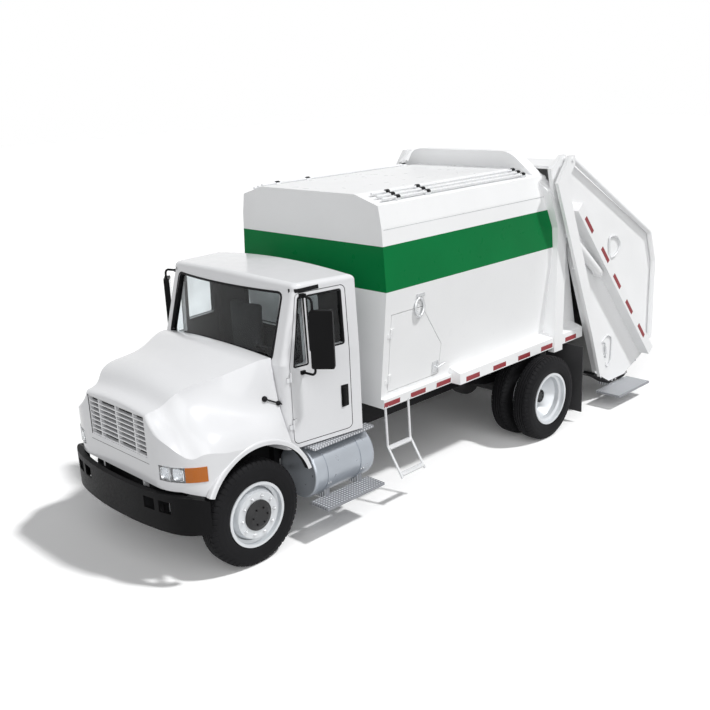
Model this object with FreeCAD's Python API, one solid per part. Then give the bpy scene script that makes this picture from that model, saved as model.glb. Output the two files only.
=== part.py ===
import FreeCAD, Part
import math
import os

os.makedirs("parts", exist_ok=True)

V = FreeCAD.Vector

# Rear-loading garbage truck with a bonneted cab. Millimetres. The truck faces -Y, +X is its left side,
# Z is up and the ground is at zero. Stations are distances behind the front axle.
front_overhang = 815.0
wheelbase = 4046.0
cut_over = 40.0
seat_gap = 0.3

# Tyres and wheels
tyre_radius = 484.0
tyre_width = 229.0
tyre_shoulder = 42.0
tyre_side_radius = 150.0
tyre_edge_radius = 30.0
rim_seat_radius = 284.0
rim_flange_radius = 298.0
rim_wall = 12.0
rim_flange_width = 11.0
disc_thickness = 14.0
front_disc_dish = 24.0
rim_well_share = 2.2
front_flat_radius = 215.0
front_hub_radius = 138.0
front_hub_back_radius = 150.0
front_hub_back = 60.0
front_hub_proud = 34.0
front_cap_radius = 96.0
front_cap_step = 14.0
rear_flat_radius = 168.0
rear_hub_radius = 75.0
rear_collar_radius = 102.0
spindle_inset = 22.0
spindle_end_gap = 2.0
front_rim_face_x = 965.0
rear_rim_face_x = 1256.0
dual_spacing = 300.0
spindle_clearance = 0.6

# Frame
rail_outer_x = 430.0
rail_height = 250.0
rail_top_z = 880.0
rail_flange = 80.0
rail_thickness = 9.0
rail_front_at = -700.0
rail_rear_at = 4860.0
cross_width = 90.0
cross_lift = 80.0
cross_stations = (-640.0, 1500.0, 2350.0, 3200.0, 4300.0, 4770.0)

# Front bumper
bumper_top_z = 858.0
bumper_bottom_z = 520.0
bumper_half_width = 1000.0
bumper_plan_xs = (0.0, 300.0, 505.0, 687.0, 850.0, 950.0)
bumper_plan_setbacks = (0.0, 10.0, 33.0, 66.0, 125.0, 205.0)
bumper_end_at = -502.0
bumper_wall = 14.0
bumper_lip = 50.0
bumper_hole_width = 130.0
bumper_hole_height = 105.0
bumper_hole_z = 748.0
bumper_hole_xs = (505.0, 687.0)

# Front axle and steering
kingpin_x = 730.0
kingpin_radius = 20.0
axle_beam_height = 95.0
axle_beam_depth = 90.0
axle_beam_top_z = 440.0
axle_end_top_z = 520.0
axle_drop_x = 620.0
axle_end_radius = 34.0
knuckle_reach = 39.0
knuckle_cheek = 24.0
kingpin_clearance = 0.3
yoke_thickness = 30.0
yoke_radius = 48.0
yoke_gap = 0.5
spindle_radius = 45.0
drum_radius = 205.0
drum_width = 110.0

# Rear axle
axle_tube_radius = 72.0
bowl_radius = 200.0
bowl_width = 260.0
bowl_round = 90.0
hub_end_gap = 20.0
shaft_radius = 48.0
shaft_front_at = 1350.0
shaft_front_z = 640.0
shaft_rear_rise = 40.0

# Springs
spring_width = 76.0
spring_x = 470.0
front_spring_half = 620.0
rear_spring_half = 640.0
leaf_thickness = 14.0
leaf_step_share = 0.24
spring_camber = 70.0
spring_eye_share = 1.8
front_leaf_count = 4
rear_leaf_count = 6

# Engine and radiator
engine_half_width = 290.0
engine_front_at = -420.0
engine_rear_at = 290.0
engine_bottom_z = 560.0
engine_top_z = 1240.0
engine_sump_lift = 60.0
engine_mount_at = -90.0
engine_mount_length = 120.0
engine_mount_z = 720.0
engine_mount_height = 70.0
gearbox_radius = 190.0
radiator_half_width = 335.0
radiator_depth = 90.0
radiator_bottom_z = 650.0
radiator_top_z = 1380.0

# Hood with its fenders
hood_front_at = -715.0
hood_rear_at = 424.0
hood_bottom_z = 800.0
apron_bottom_z = 882.0
apron_end_at = -455.0
apron_knee_at = -640.0
fender_tip_z = 815.0
hood_cab_gap = 8.0
hood_wall = 26.0
hood_corner_radius = 450.0
arch_radius = 565.0
arch_centre_z = 552.0
arch_centre_at = 40.0
arch_inner_x = 520.0
lip_width = 47.0
lip_inner_x = 956.0
lip_outer_x = 1010.0
lip_tail_z = 735.0
lip_fillet = 20.0
hood_station_shares = (0.055, 0.18, 0.45, 0.75, 1.0)
nose_shares = (0.0, 0.018)
nose_insets = (26.0, 9.0)
crease_half_widths = (494.0, 556.0, 620.0, 715.0, 775.0)
crease_heights = (1520.0, 1606.0, 1688.0, 1748.0, 1773.0)
crown_rises = (34.0, 52.0, 60.0, 55.0, 40.0)
waist_half_widths = (575.0, 640.0, 706.0, 785.0, 822.0)
waist_heights = (1415.0, 1462.0, 1500.0, 1520.0, 1525.0)
bulge_half_widths = (735.0, 770.0, 806.0, 845.0, 874.0)
bulge_heights = (1290.0, 1352.0, 1394.0, 1368.0, 1270.0)
ridge_half_widths = (895.0, 912.0, 926.0, 936.0, 945.0)
ridge_heights = (1130.0, 1215.0, 1298.0, 1262.0, 1105.0)
side_heights = (1040.0, 1090.0, 1160.0, 1130.0, 990.0)
fender_half_widths = (985.0, 998.0, 1003.0, 1003.0, 990.0)
hood_pivot_at = -745.0
hood_pivot_z = 800.0
hood_pin_radius = 12.0
hood_arm_x = 312.0
hood_arm_width = 26.0
hood_arm_gap = 10.0
hood_arm_depth = 42.0
hood_arm_top_z = 1060.0
hood_eye_radius = 24.0

# Grille and lamps
grille_top_half = 456.0
grille_top_z = 1490.0
grille_bottom_z = 1115.0
grille_depth = 34.0
grille_bars = 7
grille_bar_height = 13.0
grille_post_width = 16.0
grille_post_shares = (-0.62, 0.0, 0.62)
grille_border = 14.0
lamp_inner_x = 612.0
lamp_outer_x = 845.0
lamp_top_z = 1100.0
lamp_bottom_z = 968.0
lamp_depth = 130.0
lamp_proud = 6.0
turn_end_at = -470.0

# Cab
cab_front_at = 440.0
cab_back_at = 1255.0
cab_front_half = 915.0
cab_back_half = 1030.0
cab_floor_z = 930.0
cab_wall = 58.0
cab_mount_stations = (520.0, 1110.0)
cab_mount_length = 90.0
cab_belt_z = 1715.0
cab_eave_z = 2345.0
cab_rake = 186.0
cab_bow = 105.0
cab_corner_radius = 80.0
roof_side_rise = 50.0
roof_rise = 62.0
roof_edge_radius = 48.0
roof_wall = 45.0
windshield_half = 775.0
windshield_bottom_z = 1752.0
windshield_taper_share = 0.985
windshield_top_z = 2325.0
windshield_corner_radius = 50.0
glass_thickness = 7.0
glass_depth_share = 0.4
rear_window_half = 560.0
rear_window_bottom_z = 1760.0
rear_window_top_z = 2180.0

# Doors
door_front_at = 500.0
door_front_top_at = 630.0
door_rear_at = 1147.0
door_bottom_z = 968.0
door_top_z = 2335.0
door_gap = 7.0
door_slab_depth = 88.0
door_corner_radius = 55.0
door_window_bottom_z = 1800.0
door_quarter_bottom_z = 1690.0
door_window_top_z = 2290.0
door_window_front_at = 548.0
door_window_front_top_at = 650.0
door_window_rear_at = 1090.0
door_divider_top_at = 716.0
door_divider_bottom_at = 712.0
door_divider_width = 40.0
door_window_radius = 13.0
door_hinge_zs = (1120.0, 1560.0)

# Door hinges outside the skin
hinge_radius = 10.0
hinge_half_length = 45.0
hinge_leaf_width = 42.0
hinge_leaf_thickness = 5.0
hinge_gap = 1.0

# Mirrors
mirror_tube_radius = 11.0
mirror_arm_at = 680.0
mirror_foot_at = 630.0
mirror_tube_at = 640.0
mirror_arm_x = 1105.0
mirror_top_z = 2309.0
mirror_bottom_z = 1625.0
mirror_bend = 45.0
mirror_head_width = 205.0
mirror_head_height = 520.0
mirror_head_depth = 55.0
mirror_head_z = 1950.0
mirror_head_radius = 18.0
mirror_head_turn = 38.0

# Fuel tanks and steps
tank_radius = 262.0
tank_x = 775.0
tank_z = 622.0
tank_front_at = 640.0
tank_rear_at = 1400.0
tank_dome = 26.0
strap_width = 50.0
strap_thickness = 6.0
strap_shares = (0.22, 0.78)
tank_step_half = 150.0
tank_step_thickness = 26.0
lower_step_z = 352.0
lower_step_inner_x = 960.0
lower_step_outer_x = 1190.0
step_lip = 22.0

# Cab interior
dash_depth = 150.0
dash_bottom_z = 1380.0
wheel_ring_radius = 215.0
wheel_ring_tube = 14.0
wheel_centre_x = 430.0
wheel_centre_at = 790.0
wheel_centre_z = 1650.0
wheel_tilt = 35.0
spoke_share = 0.8
column_length = 300.0
seat_width = 480.0
seat_x = 430.0
seat_front_at = 790.0
seat_rear_at = 1175.0
seat_base_z = 1210.0
seat_cushion_height = 150.0
seat_back_thickness = 130.0
seat_back_top_z = 1990.0
seat_radius = 45.0

# Refuse body
body_front_at = 1615.0
body_bottom_z = 992.0
body_bottom_half = 920.0
body_band_half = 1053.0
body_band_z = 2163.0
body_seam_half = 1018.0
body_seam_z = 2760.0
body_chamfer_half = 982.0
body_chamfer_z = 2963.0
body_roof_half = 679.0
body_roof_z = 3053.0
body_wall = 22.0
mate_bottom_at = 5060.0
mate_bottom_z = 1020.0
mate_top_at = 4300.0
mate_drop = 230.0
mate_gap = 12.0
side_door_front_at = 1700.0
side_door_rear_at = 2480.0
side_door_top_rear_at = 2140.0
side_door_shoulder_z = 1460.0
side_door_foot_at = 2455.0
side_door_bottom_z = 1135.0
side_door_top_z = 1930.0
side_door_gap = 6.0
side_door_hinge_zs = (1230.0, 1700.0)

# Body subframe
sill_outer_x = 430.0
sill_width = 90.0
joist_height = 50.0
joist_width = 70.0
joist_half = 880.0
joist_stations = (1700.0, 2200.0, 2700.0, 3200.0, 4700.0)

# Rub rails, wheel boxes and rear arch
rail_strip_depth = 45.0
rail_strip_height = 95.0
wheel_box_front_at = 2640.0
wheel_box_rear_at = 4940.0
wheel_box_outer_x = 1085.0
wheel_box_bottom_z = 990.0
wheel_box_height = 120.0
post_front_at = 4330.0
post_depth = 165.0
post_outer_x = 1118.0
post_bottom_z = 935.0
post_bottom_outer_x = 1100.0
arch_shoulder_z = 2780.0
arch_top_half = 700.0
arch_top_z = 3240.0
arch_corner_radius = 260.0

# Roof pipes
pipe_radius = 13.0
pipe_offsets = (60.0, 130.0, 200.0)
pipe_front_at = 1720.0
pipe_clamp_stations = (1900.0, 2330.0, 3880.0)
pipe_clamp_width = 60.0
pipe_standoff = 30.0

# Ladder
ladder_radius = 13.0
ladder_front_at = 1660.0
ladder_rear_at = 1990.0
ladder_top_x = 942.0
ladder_foot_x = 1150.0
ladder_foot_z = 300.0
ladder_kink_z = 590.0
ladder_kink_x = 958.0
ladder_bend = 60.0
ladder_rung_shares = (0.06, 0.88)

# Mudflaps
flap_gap = 170.0
flap_thickness = 10.0
flap_inner_x = 740.0
flap_outer_x = 1250.0
flap_bottom_z = 130.0

# Tailgate
hinge_at = 4420.0
hinge_z = 3130.0
hinge_pin_radius = 22.0
arch_eye_share = 2.2
beam_eye_share = 2.4
gate_side_x = 1060.0
gate_wall = 36.0
gate_slope_bottom_at = 6430.0
gate_slope_bottom_z = 2020.0
gate_slope_top_at = 4560.0
gate_slope_top_z = 3110.0
gate_rear_at = 6560.0
gate_rear_top_z = 1640.0
gate_rear_bottom_z = 450.0
gate_floor_rear_at = 6010.0
gate_floor_front_at = 5640.0
gate_floor_z = 235.0
gate_toe_at = 5300.0
gate_toe_z = 430.0
gate_roof_thickness = 30.0
beam_outer_x = 1225.0
beam_inner_x = 1185.0
beam_width = 150.0
beam_bottom_z = 450.0
beam_toe_share = 0.8
web_inset = 2.0
web_high_gap = 155.0
web_low_gap = 415.0
tube_end_lift = 156.0
track_outer_x = 1205.0
track_width = 130.0
track_top_at = 4640.0
track_top_z = 2586.0
track_end_at = 6420.0
track_end_z = 484.0
tube_rim_radius = 32.0
tube_rear_reach = 40.0
hopper_wall = 30.0
hopper_sill_z = 900.0
hopper_lean_share = 1.1

# Packer
packer_half_width = 998.0
packer_thickness = 90.0
packer_top_distance = 520.0
packer_length = 1050.0
packer_stroke = 560.0
shoe_thickness = 60.0
shoe_end_share = 0.12
runner_width = 20.0
runner_depth = 18.0
runner_gap = 1.0
blade_radius = 60.0
blade_length = 800.0
blade_thickness = 60.0
blade_gap = 8.0
blade_half_width = 930.0
blade_ear_gap = 6.0
blade_ear_width = 30.0
blade_pin_radius = 26.0
blade_pin_reach = 80.0

# Tailgate lift cylinders
lift_x = 1122.0
lift_low_at = 5215.0
lift_low_z = 1715.0
lift_high_at = 4560.0
lift_high_z = 2262.0
lift_barrel_radius = 54.0
lift_bore_radius = 25.6
lift_rod_radius = 25.0
lift_barrel_length = 780.0
lift_pin_radius = 20.0
lift_eye_radius = 42.0
lift_eye_width = 60.0
lift_lug_share = 1.6
lift_root_share = 1.5

# Steps and lamps on the tailgate
side_step_inner_x = 1070.0
side_step_outer_x = 1395.0
side_step_front_at = 5330.0
side_step_rear_at = 6060.0
side_step_z = 165.0
side_step_thickness = 28.0
sill_depth = 150.0
tail_lamp_width = 110.0
tail_lamp_height = 300.0

# Worked out from the sizes above, with the middle of the truck's length at Y zero
overall_length = front_overhang + gate_rear_at + tube_rear_reach
front_axle_y = front_overhang - overall_length / 2
mate_top_z = hinge_z - mate_drop
flap_at = wheelbase + tyre_radius + flap_gap


def station(distance):
    """Y of a distance behind the front axle."""
    return front_axle_y + distance


def box(x0, x1, y0, y1, z0, z1):
    return Part.makeBox(x1 - x0, y1 - y0, z1 - z0, V(x0, y0, z0))


def rod(start, end, radius):
    run = end.sub(start)
    return Part.makeCylinder(radius, run.Length, start, run)


def rounded_face(points, radii):
    """Flat face through the points, with each corner rounded by its own radius."""
    count = len(points)
    corners = []
    for index, point in enumerate(points):
        back = points[index - 1].sub(point)
        ahead = points[(index + 1) % count].sub(point)
        back.normalize()
        ahead.normalize()
        half = back.getAngle(ahead) / 2
        radius = radii[index]
        if radius == 0:
            corners.append((point, None, point))
            continue
        reach = radius / math.tan(half)
        middle = back + ahead
        middle.normalize()
        crown = point + middle * (radius / math.sin(half) - radius)
        corners.append((point + back * reach, crown, point + ahead * reach))
    edges = []
    for index, (first, crown, last) in enumerate(corners):
        if crown is not None:
            edges.append(Part.Arc(first, crown, last).toShape())
        following = corners[(index + 1) % count][0]
        edges.append(Part.LineSegment(last, following).toShape())
    return Part.Face(Part.Wire(edges))


def prism_x(outline, x0, x1, radius=0.0):
    """Solid between two X planes from an outline of (Y, Z) points."""
    points = [V(x0, y, z) for y, z in outline]
    return rounded_face(points, [radius] * len(points)).extrude(V(x1 - x0, 0, 0))


def prism_y(outline, y0, y1, radius=0.0):
    """Solid between two Y planes from an outline of (X, Z) points."""
    points = [V(x, y0, z) for x, z in outline]
    return rounded_face(points, [radius] * len(points)).extrude(V(0, y1 - y0, 0))


def prism_z(outline, z0, z1, radii=None):
    """Solid between two Z planes from an outline of (X, Y) points."""
    points = [V(x, y, z0) for x, y in outline]
    return rounded_face(points, radii or [0.0] * len(points)).extrude(V(0, 0, z1 - z0))


def tube_path(points, bend, radius):
    """Round bar along straight runs joined by arcs."""
    edges = []
    start = points[0]
    for index in range(1, len(points) - 1):
        corner = points[index]
        back = points[index - 1].sub(corner)
        ahead = points[index + 1].sub(corner)
        back.normalize()
        ahead.normalize()
        half = back.getAngle(ahead) / 2
        reach = bend / math.tan(half)
        middle = back + ahead
        middle.normalize()
        crown = corner + middle * (bend / math.sin(half) - bend)
        edges.append(Part.LineSegment(start, corner + back * reach).toShape())
        edges.append(Part.Arc(corner + back * reach, crown, corner + ahead * reach).toShape())
        start = corner + ahead * reach
    edges.append(Part.LineSegment(start, points[-1]).toShape())
    path = Part.Wire(edges)
    run = points[1].sub(points[0])
    profile = Part.Wire([Part.makeCircle(radius, points[0], run)])
    return path.makePipeShell([profile], True, False)


def mirrored(shape):
    return shape.mirror(V(0, 0, 0), V(1, 0, 0))


def both_sides(shape):
    return [shape, mirrored(shape)]


def fused(shapes):
    whole = shapes[0].multiFuse(shapes[1:])
    return whole.removeSplitter()


def save(node, shapes):
    """Write one sub-part, made of one or more solids."""
    solids = []
    for shape in shapes:
        solids.extend(shape.Solids)
    for solid in solids:
        if not solid.isValid():
            raise ValueError(node + " has a solid that is not valid")
    whole = solids[0] if len(solids) == 1 else Part.makeCompound(solids)
    whole.exportStep(os.path.join("parts", node + ".step"))


def save_pair(node, shape):
    """Write a left-hand sub-part and its mirror image."""
    save(node + "_left", [shape])
    save(node + "_right", [mirrored(shape)])


def turned(profile):
    """Solid turned about the X axis from an outline of (X, radius) points."""
    points = [V(x, 0, r) for x, r in profile]
    face = rounded_face(points, [0.0] * len(points))
    return face.revolve(V(0, 0, 0), V(1, 0, 0), 360)


def tyre():
    """One tyre about the origin, its middle plane at X zero, its beads inside the rim's flanges."""
    half = tyre_width / 2
    bead = half - tyre_shoulder / 2 - seat_gap
    tread = tyre_radius - tyre_shoulder
    inner = rim_seat_radius + seat_gap
    bulge = (rim_flange_radius + tread) / 2
    right = [
        (bead, inner, 0.0),
        (bead, rim_flange_radius + seat_gap, 0.0),
        (half, bulge, tyre_side_radius),
        (half - tyre_shoulder / 4, tread, tyre_side_radius / 2),
        (half - tyre_shoulder, tyre_radius, tyre_edge_radius),
    ]
    outline = right + [(-x, height, corner) for x, height, corner in reversed(right)]
    points = [V(x, 0, height) for x, height, corner in outline]
    face = rounded_face(points, [corner for x, height, corner in outline])
    return face.revolve(V(0, 0, 0), V(1, 0, 0), 360)


def wheel_rim(face_x, disc_x, flat_radius, bore_radius):
    """Drop-centre rim with its disc, from the planes of its outer flange and of its disc."""
    width = tyre_width - tyre_shoulder + 2 * rim_flange_width
    back_x = face_x - width
    seat = rim_seat_radius
    well = seat - rim_well_share * rim_wall
    third = width / 4
    profile = [
        (face_x, rim_flange_radius),
        (face_x - rim_flange_width, rim_flange_radius),
        (face_x - rim_flange_width, seat),
        (face_x - third, seat),
        (face_x - third - rim_wall, well),
        (back_x + third + rim_wall, well),
        (back_x + third, seat),
        (back_x + rim_flange_width, seat),
        (back_x + rim_flange_width, rim_flange_radius),
        (back_x, rim_flange_radius),
        (back_x, seat - rim_wall),
        (back_x + third - rim_wall / 2, seat - rim_wall),
        (back_x + third + rim_wall / 2, well - rim_wall),
        (face_x - third - rim_wall / 2, well - rim_wall),
        (face_x - third + rim_wall / 2, seat - rim_wall),
        (face_x, seat - rim_wall),
    ]
    meet = well - rim_wall / 2
    meet_x = (face_x + back_x) / 2
    disc_profile = [
        (disc_x, bore_radius),
        (disc_x, flat_radius),
        (meet_x, meet),
        (meet_x - disc_thickness - rim_wall, meet),
        (disc_x - disc_thickness, flat_radius - rim_wall),
        (disc_x - disc_thickness, bore_radius),
    ]
    return fused([turned(profile), turned(disc_profile)])


def front_wheels():
    """Front tyres and rims; each rim carries its hub, which turns on the knuckle's spindle."""
    width = tyre_width - tyre_shoulder + 2 * rim_flange_width
    centre_x = front_rim_face_x - width / 2
    place = V(centre_x, front_axle_y, tyre_radius)
    disc_x = width / 2 + front_disc_dish - rim_flange_width * 2
    back = disc_x - disc_thickness
    bore = spindle_radius + spindle_clearance
    floor = disc_x - spindle_inset + spindle_end_gap
    hub = turned([
        (back - front_hub_back, bore),
        (back - front_hub_back, front_hub_back_radius),
        (back, front_hub_back_radius),
        (back, front_hub_radius),
        (disc_x + front_cap_step, front_hub_radius),
        (disc_x + front_hub_proud, front_cap_radius),
        (disc_x + front_hub_proud, 0),
        (floor, 0),
        (floor, bore),
    ])
    rim = fused([wheel_rim(width / 2, disc_x, front_flat_radius, front_hub_radius), hub])
    rubber = tyre()
    for shape in (rim, rubber):
        shape.translate(place)
    save_pair("front_tyre", rubber)
    save_pair("front_rim", rim)
    return centre_x


def rear_wheels():
    """Twin rear wheels: the rims and the drum with its hub as one piece, the two tyres as another."""
    width = tyre_width - tyre_shoulder + 2 * rim_flange_width
    outer_x = rear_rim_face_x - width / 2
    inner_x = outer_x - dual_spacing
    joint_x = outer_x - dual_spacing / 2
    disc_x = -dual_spacing / 2 + disc_thickness
    rim = wheel_rim(width / 2, disc_x, rear_flat_radius, rear_hub_radius)
    outer_rim = rim.translated(V(outer_x, 0, 0))
    inner_rim = mirrored(rim).translated(V(inner_x, 0, 0))
    drum_x = inner_x - drum_width
    bore = spindle_radius + spindle_clearance
    hub = turned([
        (drum_x, bore),
        (drum_x, drum_radius),
        (inner_x, drum_radius),
        (joint_x - disc_thickness, rear_flat_radius - disc_thickness),
        (joint_x - disc_thickness, rear_hub_radius),
        (joint_x + disc_thickness, rear_hub_radius),
        (joint_x + disc_thickness, rear_collar_radius),
        (joint_x + drum_width / 2, rear_collar_radius),
        (joint_x + drum_width / 2 + disc_thickness, rear_hub_radius),
        (joint_x + drum_width, rear_hub_radius),
        (joint_x + drum_width, 0),
        (joint_x + drum_width / 2, 0),
        (joint_x + drum_width / 2, bore),
    ])
    rims = fused([outer_rim, inner_rim, hub])
    tyres = [tyre().translated(V(x, 0, 0)) for x in (outer_x, inner_x)]
    for shape in [rims] + tyres:
        shape.translate(V(0, station(wheelbase), tyre_radius))
    save("rear_rims_left", [rims])
    save("rear_rims_right", [mirrored(rims)])
    save("rear_tyres_left", tyres)
    save("rear_tyres_right", [mirrored(shape) for shape in tyres])
    return drum_x, joint_x


def frame_rails():
    """Two channels with horns for the bumper and pins for the hood, and the crossmembers between them."""
    y0 = station(rail_front_at)
    y1 = station(rail_rear_at)
    out, into = rail_outer_x, rail_outer_x - rail_flange
    top, low, wall = rail_top_z, rail_top_z - rail_height, rail_thickness
    section = [
        (into, low),
        (out, low),
        (out, top),
        (into, top),
        (into, top - wall),
        (out - wall, top - wall),
        (out - wall, low + wall),
        (into, low + wall),
    ]
    bumper_back = station(-front_overhang) + bumper_lip
    horn_top = bumper_top_z - 2 * bumper_wall
    horn = box(into, out, bumper_back, y0, low, horn_top)
    nose = box(into, out, station(-front_overhang), bumper_back, low, horn_top)
    nose = nose.common(bumper_prism(bumper_wall + seat_gap, low, bumper_top_z))
    pin_start = V(hood_arm_x - hood_arm_gap, station(hood_pivot_at), hood_pivot_z)
    pin = rod(pin_start, V(into, pin_start.y, pin_start.z), hood_pin_radius)
    solids = both_sides(fused([prism_y(section, y0, y1), horn, nose, pin]))
    for place in cross_stations:
        y = station(place)
        solids.append(box(-out + wall, out - wall, y, y + cross_width, low + cross_lift, top - wall * 3))
    return solids


def bumper_prism(inset, z0, z1):
    """Solid in the bumper's bowed plan, drawn in by an inset."""
    right = []
    for x, setback in zip(bumper_plan_xs, bumper_plan_setbacks):
        near = x * (1 - inset / bumper_half_width)
        right.append(V(near, station(-front_overhang) + setback + inset, z0))
    right.append(V(bumper_half_width - inset, station(bumper_end_at) + inset, z0))
    left = [V(-point.x, point.y, z0) for point in reversed(right[1:])]
    face_line = Part.BSplineCurve()
    face_line.interpolate(left + right)
    back_line = Part.LineSegment(right[-1], left[0])
    return Part.Face(Part.Wire([face_line.toShape(), back_line.toShape()])).extrude(V(0, 0, z1 - z0))


def front_bumper():
    """Black channel bumper with four tow holes, its top edge following the hood's apron."""
    shell = bumper_prism(0.0, bumper_bottom_z, bumper_top_z)
    hollow = bumper_prism(bumper_wall, bumper_bottom_z + bumper_wall, bumper_top_z - bumper_wall)
    mouth = bumper_prism(bumper_lip, bumper_bottom_z - cut_over, bumper_top_z + cut_over)
    openings = []
    half_width, half_height = bumper_hole_width / 2, bumper_hole_height / 2
    face_y = station(-front_overhang)
    for x in bumper_hole_xs:
        hole = box(
            x - half_width,
            x + half_width,
            face_y - cut_over,
            face_y + max(bumper_plan_setbacks),
            bumper_hole_z - half_height,
            bumper_hole_z + half_height,
        )
        openings += both_sides(hole)
    drop = apron_bottom_z - bumper_top_z
    below = apron_space(drop)
    return shell.cut([hollow, mouth]).common(below).cut(openings)


def axle_neck(end_low):
    """Taper of the axle beam into its round end."""
    y, depth, near = front_axle_y, axle_beam_depth / 2, kingpin_x - axle_end_radius
    round_half = axle_end_radius
    outline = [(near, y - depth), (kingpin_x, y - round_half), (kingpin_x, y + round_half), (near, y + depth)]
    return prism_z(outline, end_low, axle_end_top_z)


def front_axle_beam():
    """Dropped beam whose round ends are bored for the kingpins."""
    y = front_axle_y
    depth = axle_beam_depth / 2
    low = axle_beam_top_z - axle_beam_height
    end_low = axle_end_top_z - axle_beam_height
    near = kingpin_x - axle_end_radius
    right = [
        (axle_drop_x - axle_beam_height, axle_beam_top_z),
        (axle_drop_x, axle_end_top_z),
        (near, axle_end_top_z),
        (near, end_low),
        (axle_drop_x, end_low),
        (axle_drop_x - axle_beam_height, low),
    ]
    outline = right + [(-x, z) for x, z in reversed(right)]
    end = Part.makeCylinder(axle_end_radius, axle_beam_height, V(kingpin_x, y, end_low))
    ends = both_sides(end) + both_sides(axle_neck(end_low))
    start = V(kingpin_x, y, end_low - cut_over)
    bore = Part.makeCylinder(kingpin_radius + kingpin_clearance, axle_beam_height + 2 * cut_over, start)
    return fused([prism_y(outline, y - depth, y + depth)] + ends).cut(both_sides(bore))


def knuckle(wheel_centre_x_value):
    """Left knuckle: a yoke over the axle's end, its kingpin and the spindle of the wheel."""
    y = front_axle_y
    end_low = axle_end_top_z - axle_beam_height
    pin_low = end_low - yoke_gap - yoke_thickness
    pin_high = axle_end_top_z + yoke_gap + yoke_thickness
    parts = [Part.makeCylinder(kingpin_radius, pin_high - pin_low, V(kingpin_x, y, pin_low))]
    arm_x = kingpin_x + knuckle_reach
    arm_end = arm_x + knuckle_cheek
    y0, y1 = y - yoke_radius, y + yoke_radius
    for z in (pin_low, pin_high - yoke_thickness):
        parts.append(Part.makeCylinder(yoke_radius, yoke_thickness, V(kingpin_x, y, z)))
        parts.append(box(kingpin_x, arm_end, y0, y1, z, z + yoke_thickness))
    parts.append(box(arm_x, arm_end, y0, y1, pin_low, pin_high))
    disc_x = wheel_centre_x_value + (tyre_width - tyre_shoulder) / 2 + rim_flange_width
    disc_x += front_disc_dish - rim_flange_width * 2
    spindle_run = disc_x - spindle_inset - arm_x
    parts.append(Part.makeCylinder(spindle_radius, spindle_run, V(arm_x, y, tyre_radius), V(1, 0, 0)))
    return fused(parts)


def leaf_spring(centre_at, half, count, seat_z):
    """One curved leaf pack with its eyes and the hangers that carry it on the rail."""
    y = station(centre_at)
    x = spring_x - spring_width / 2
    parts = []
    for index in range(count):
        reach = half * (1 - leaf_step_share * index * 3 / count)
        rise = spring_camber * (reach / half) ** 2
        z = seat_z + (count - 1 - index) * leaf_thickness
        top = z + leaf_thickness
        lower = [V(x, y - reach, z + rise), V(x, y, z), V(x, y + reach, z + rise)]
        upper = [V(x, y + reach, top + rise), V(x, y, top), V(x, y - reach, top + rise)]
        edges = [
            Part.Arc(*lower).toShape(),
            Part.LineSegment(lower[2], upper[0]).toShape(),
            Part.Arc(*upper).toShape(),
            Part.LineSegment(upper[2], lower[0]).toShape(),
        ]
        parts.append(Part.Face(Part.Wire(edges)).extrude(V(spring_width, 0, 0)))
    eye_z = seat_z + count * leaf_thickness - leaf_thickness / 2 + spring_camber
    eye_radius = leaf_thickness * spring_eye_share
    hanger_top = rail_top_z - rail_height / 3
    hanger_half = leaf_thickness * 2
    for eye_y in (y - half, y + half):
        parts.append(Part.makeCylinder(eye_radius, spring_width, V(x, eye_y, eye_z), V(1, 0, 0)))
        parts.append(box(rail_outer_x + seat_gap, x + spring_width, eye_y - hanger_half, eye_y + hanger_half,
                         eye_z, hanger_top))
    return fused(parts)


def leaf_springs():
    """Leaf packs seated on the front axle beam and on the rear axle tube."""
    front_seat = axle_beam_top_z + seat_gap
    rear_seat = tyre_radius + axle_tube_radius + seat_gap
    front = leaf_spring(0.0, front_spring_half, front_leaf_count, front_seat)
    rear = leaf_spring(wheelbase, rear_spring_half, rear_leaf_count, rear_seat)
    return both_sides(front) + both_sides(rear)


def rear_axle(drum_x, joint_x):
    """Banjo axle: a tube and spindles through a round bowl."""
    y = station(wheelbase)
    tube_end = drum_x - hub_end_gap
    tube = Part.makeCylinder(axle_tube_radius, 2 * tube_end, V(-tube_end, y, tyre_radius), V(1, 0, 0))
    spindle_end = joint_x + (drum_width - hub_end_gap) / 2
    spindle = Part.makeCylinder(spindle_radius, 2 * spindle_end, V(-spindle_end, y, tyre_radius), V(1, 0, 0))
    bowl = Part.makeCylinder(bowl_radius, bowl_width, V(-bowl_width / 2, y, tyre_radius), V(1, 0, 0))
    rims = [edge for edge in bowl.Edges if edge.BoundBox.XLength < seat_gap]
    return fused([tube, spindle, bowl.makeFillet(bowl_round, rims)])


def driveshaft(engine, axle):
    """Straight shaft that ends flush on the gearbox and on the axle's bowl."""
    start = V(0, station(shaft_front_at) - shaft_radius, shaft_front_z)
    end = V(0, station(wheelbase) - bowl_radius / 2, tyre_radius + shaft_rear_rise)
    return rod(start, end, shaft_radius).cut(engine).cut(axle)


def engine_block():
    """Engine with its gearbox as one plain block on two mounts between the rails."""
    rear = station(engine_rear_at)
    block = box(-engine_half_width, engine_half_width, station(engine_front_at), rear,
                engine_bottom_z + engine_sump_lift, engine_top_z)
    gearbox = rod(V(0, rear, shaft_front_z), V(0, station(shaft_front_at), shaft_front_z), gearbox_radius)
    reach = rail_outer_x - rail_thickness - seat_gap
    y = station(engine_mount_at)
    mount_top = engine_mount_z + engine_mount_height
    mount = box(-reach, reach, y, y + engine_mount_length, engine_mount_z, mount_top)
    return fused([block, gearbox, mount])


def radiator():
    front = station(cross_stations[0]) + cross_width + seat_gap
    return box(-radiator_half_width, radiator_half_width, front, front + radiator_depth,
               radiator_bottom_z, radiator_top_z)


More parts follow.
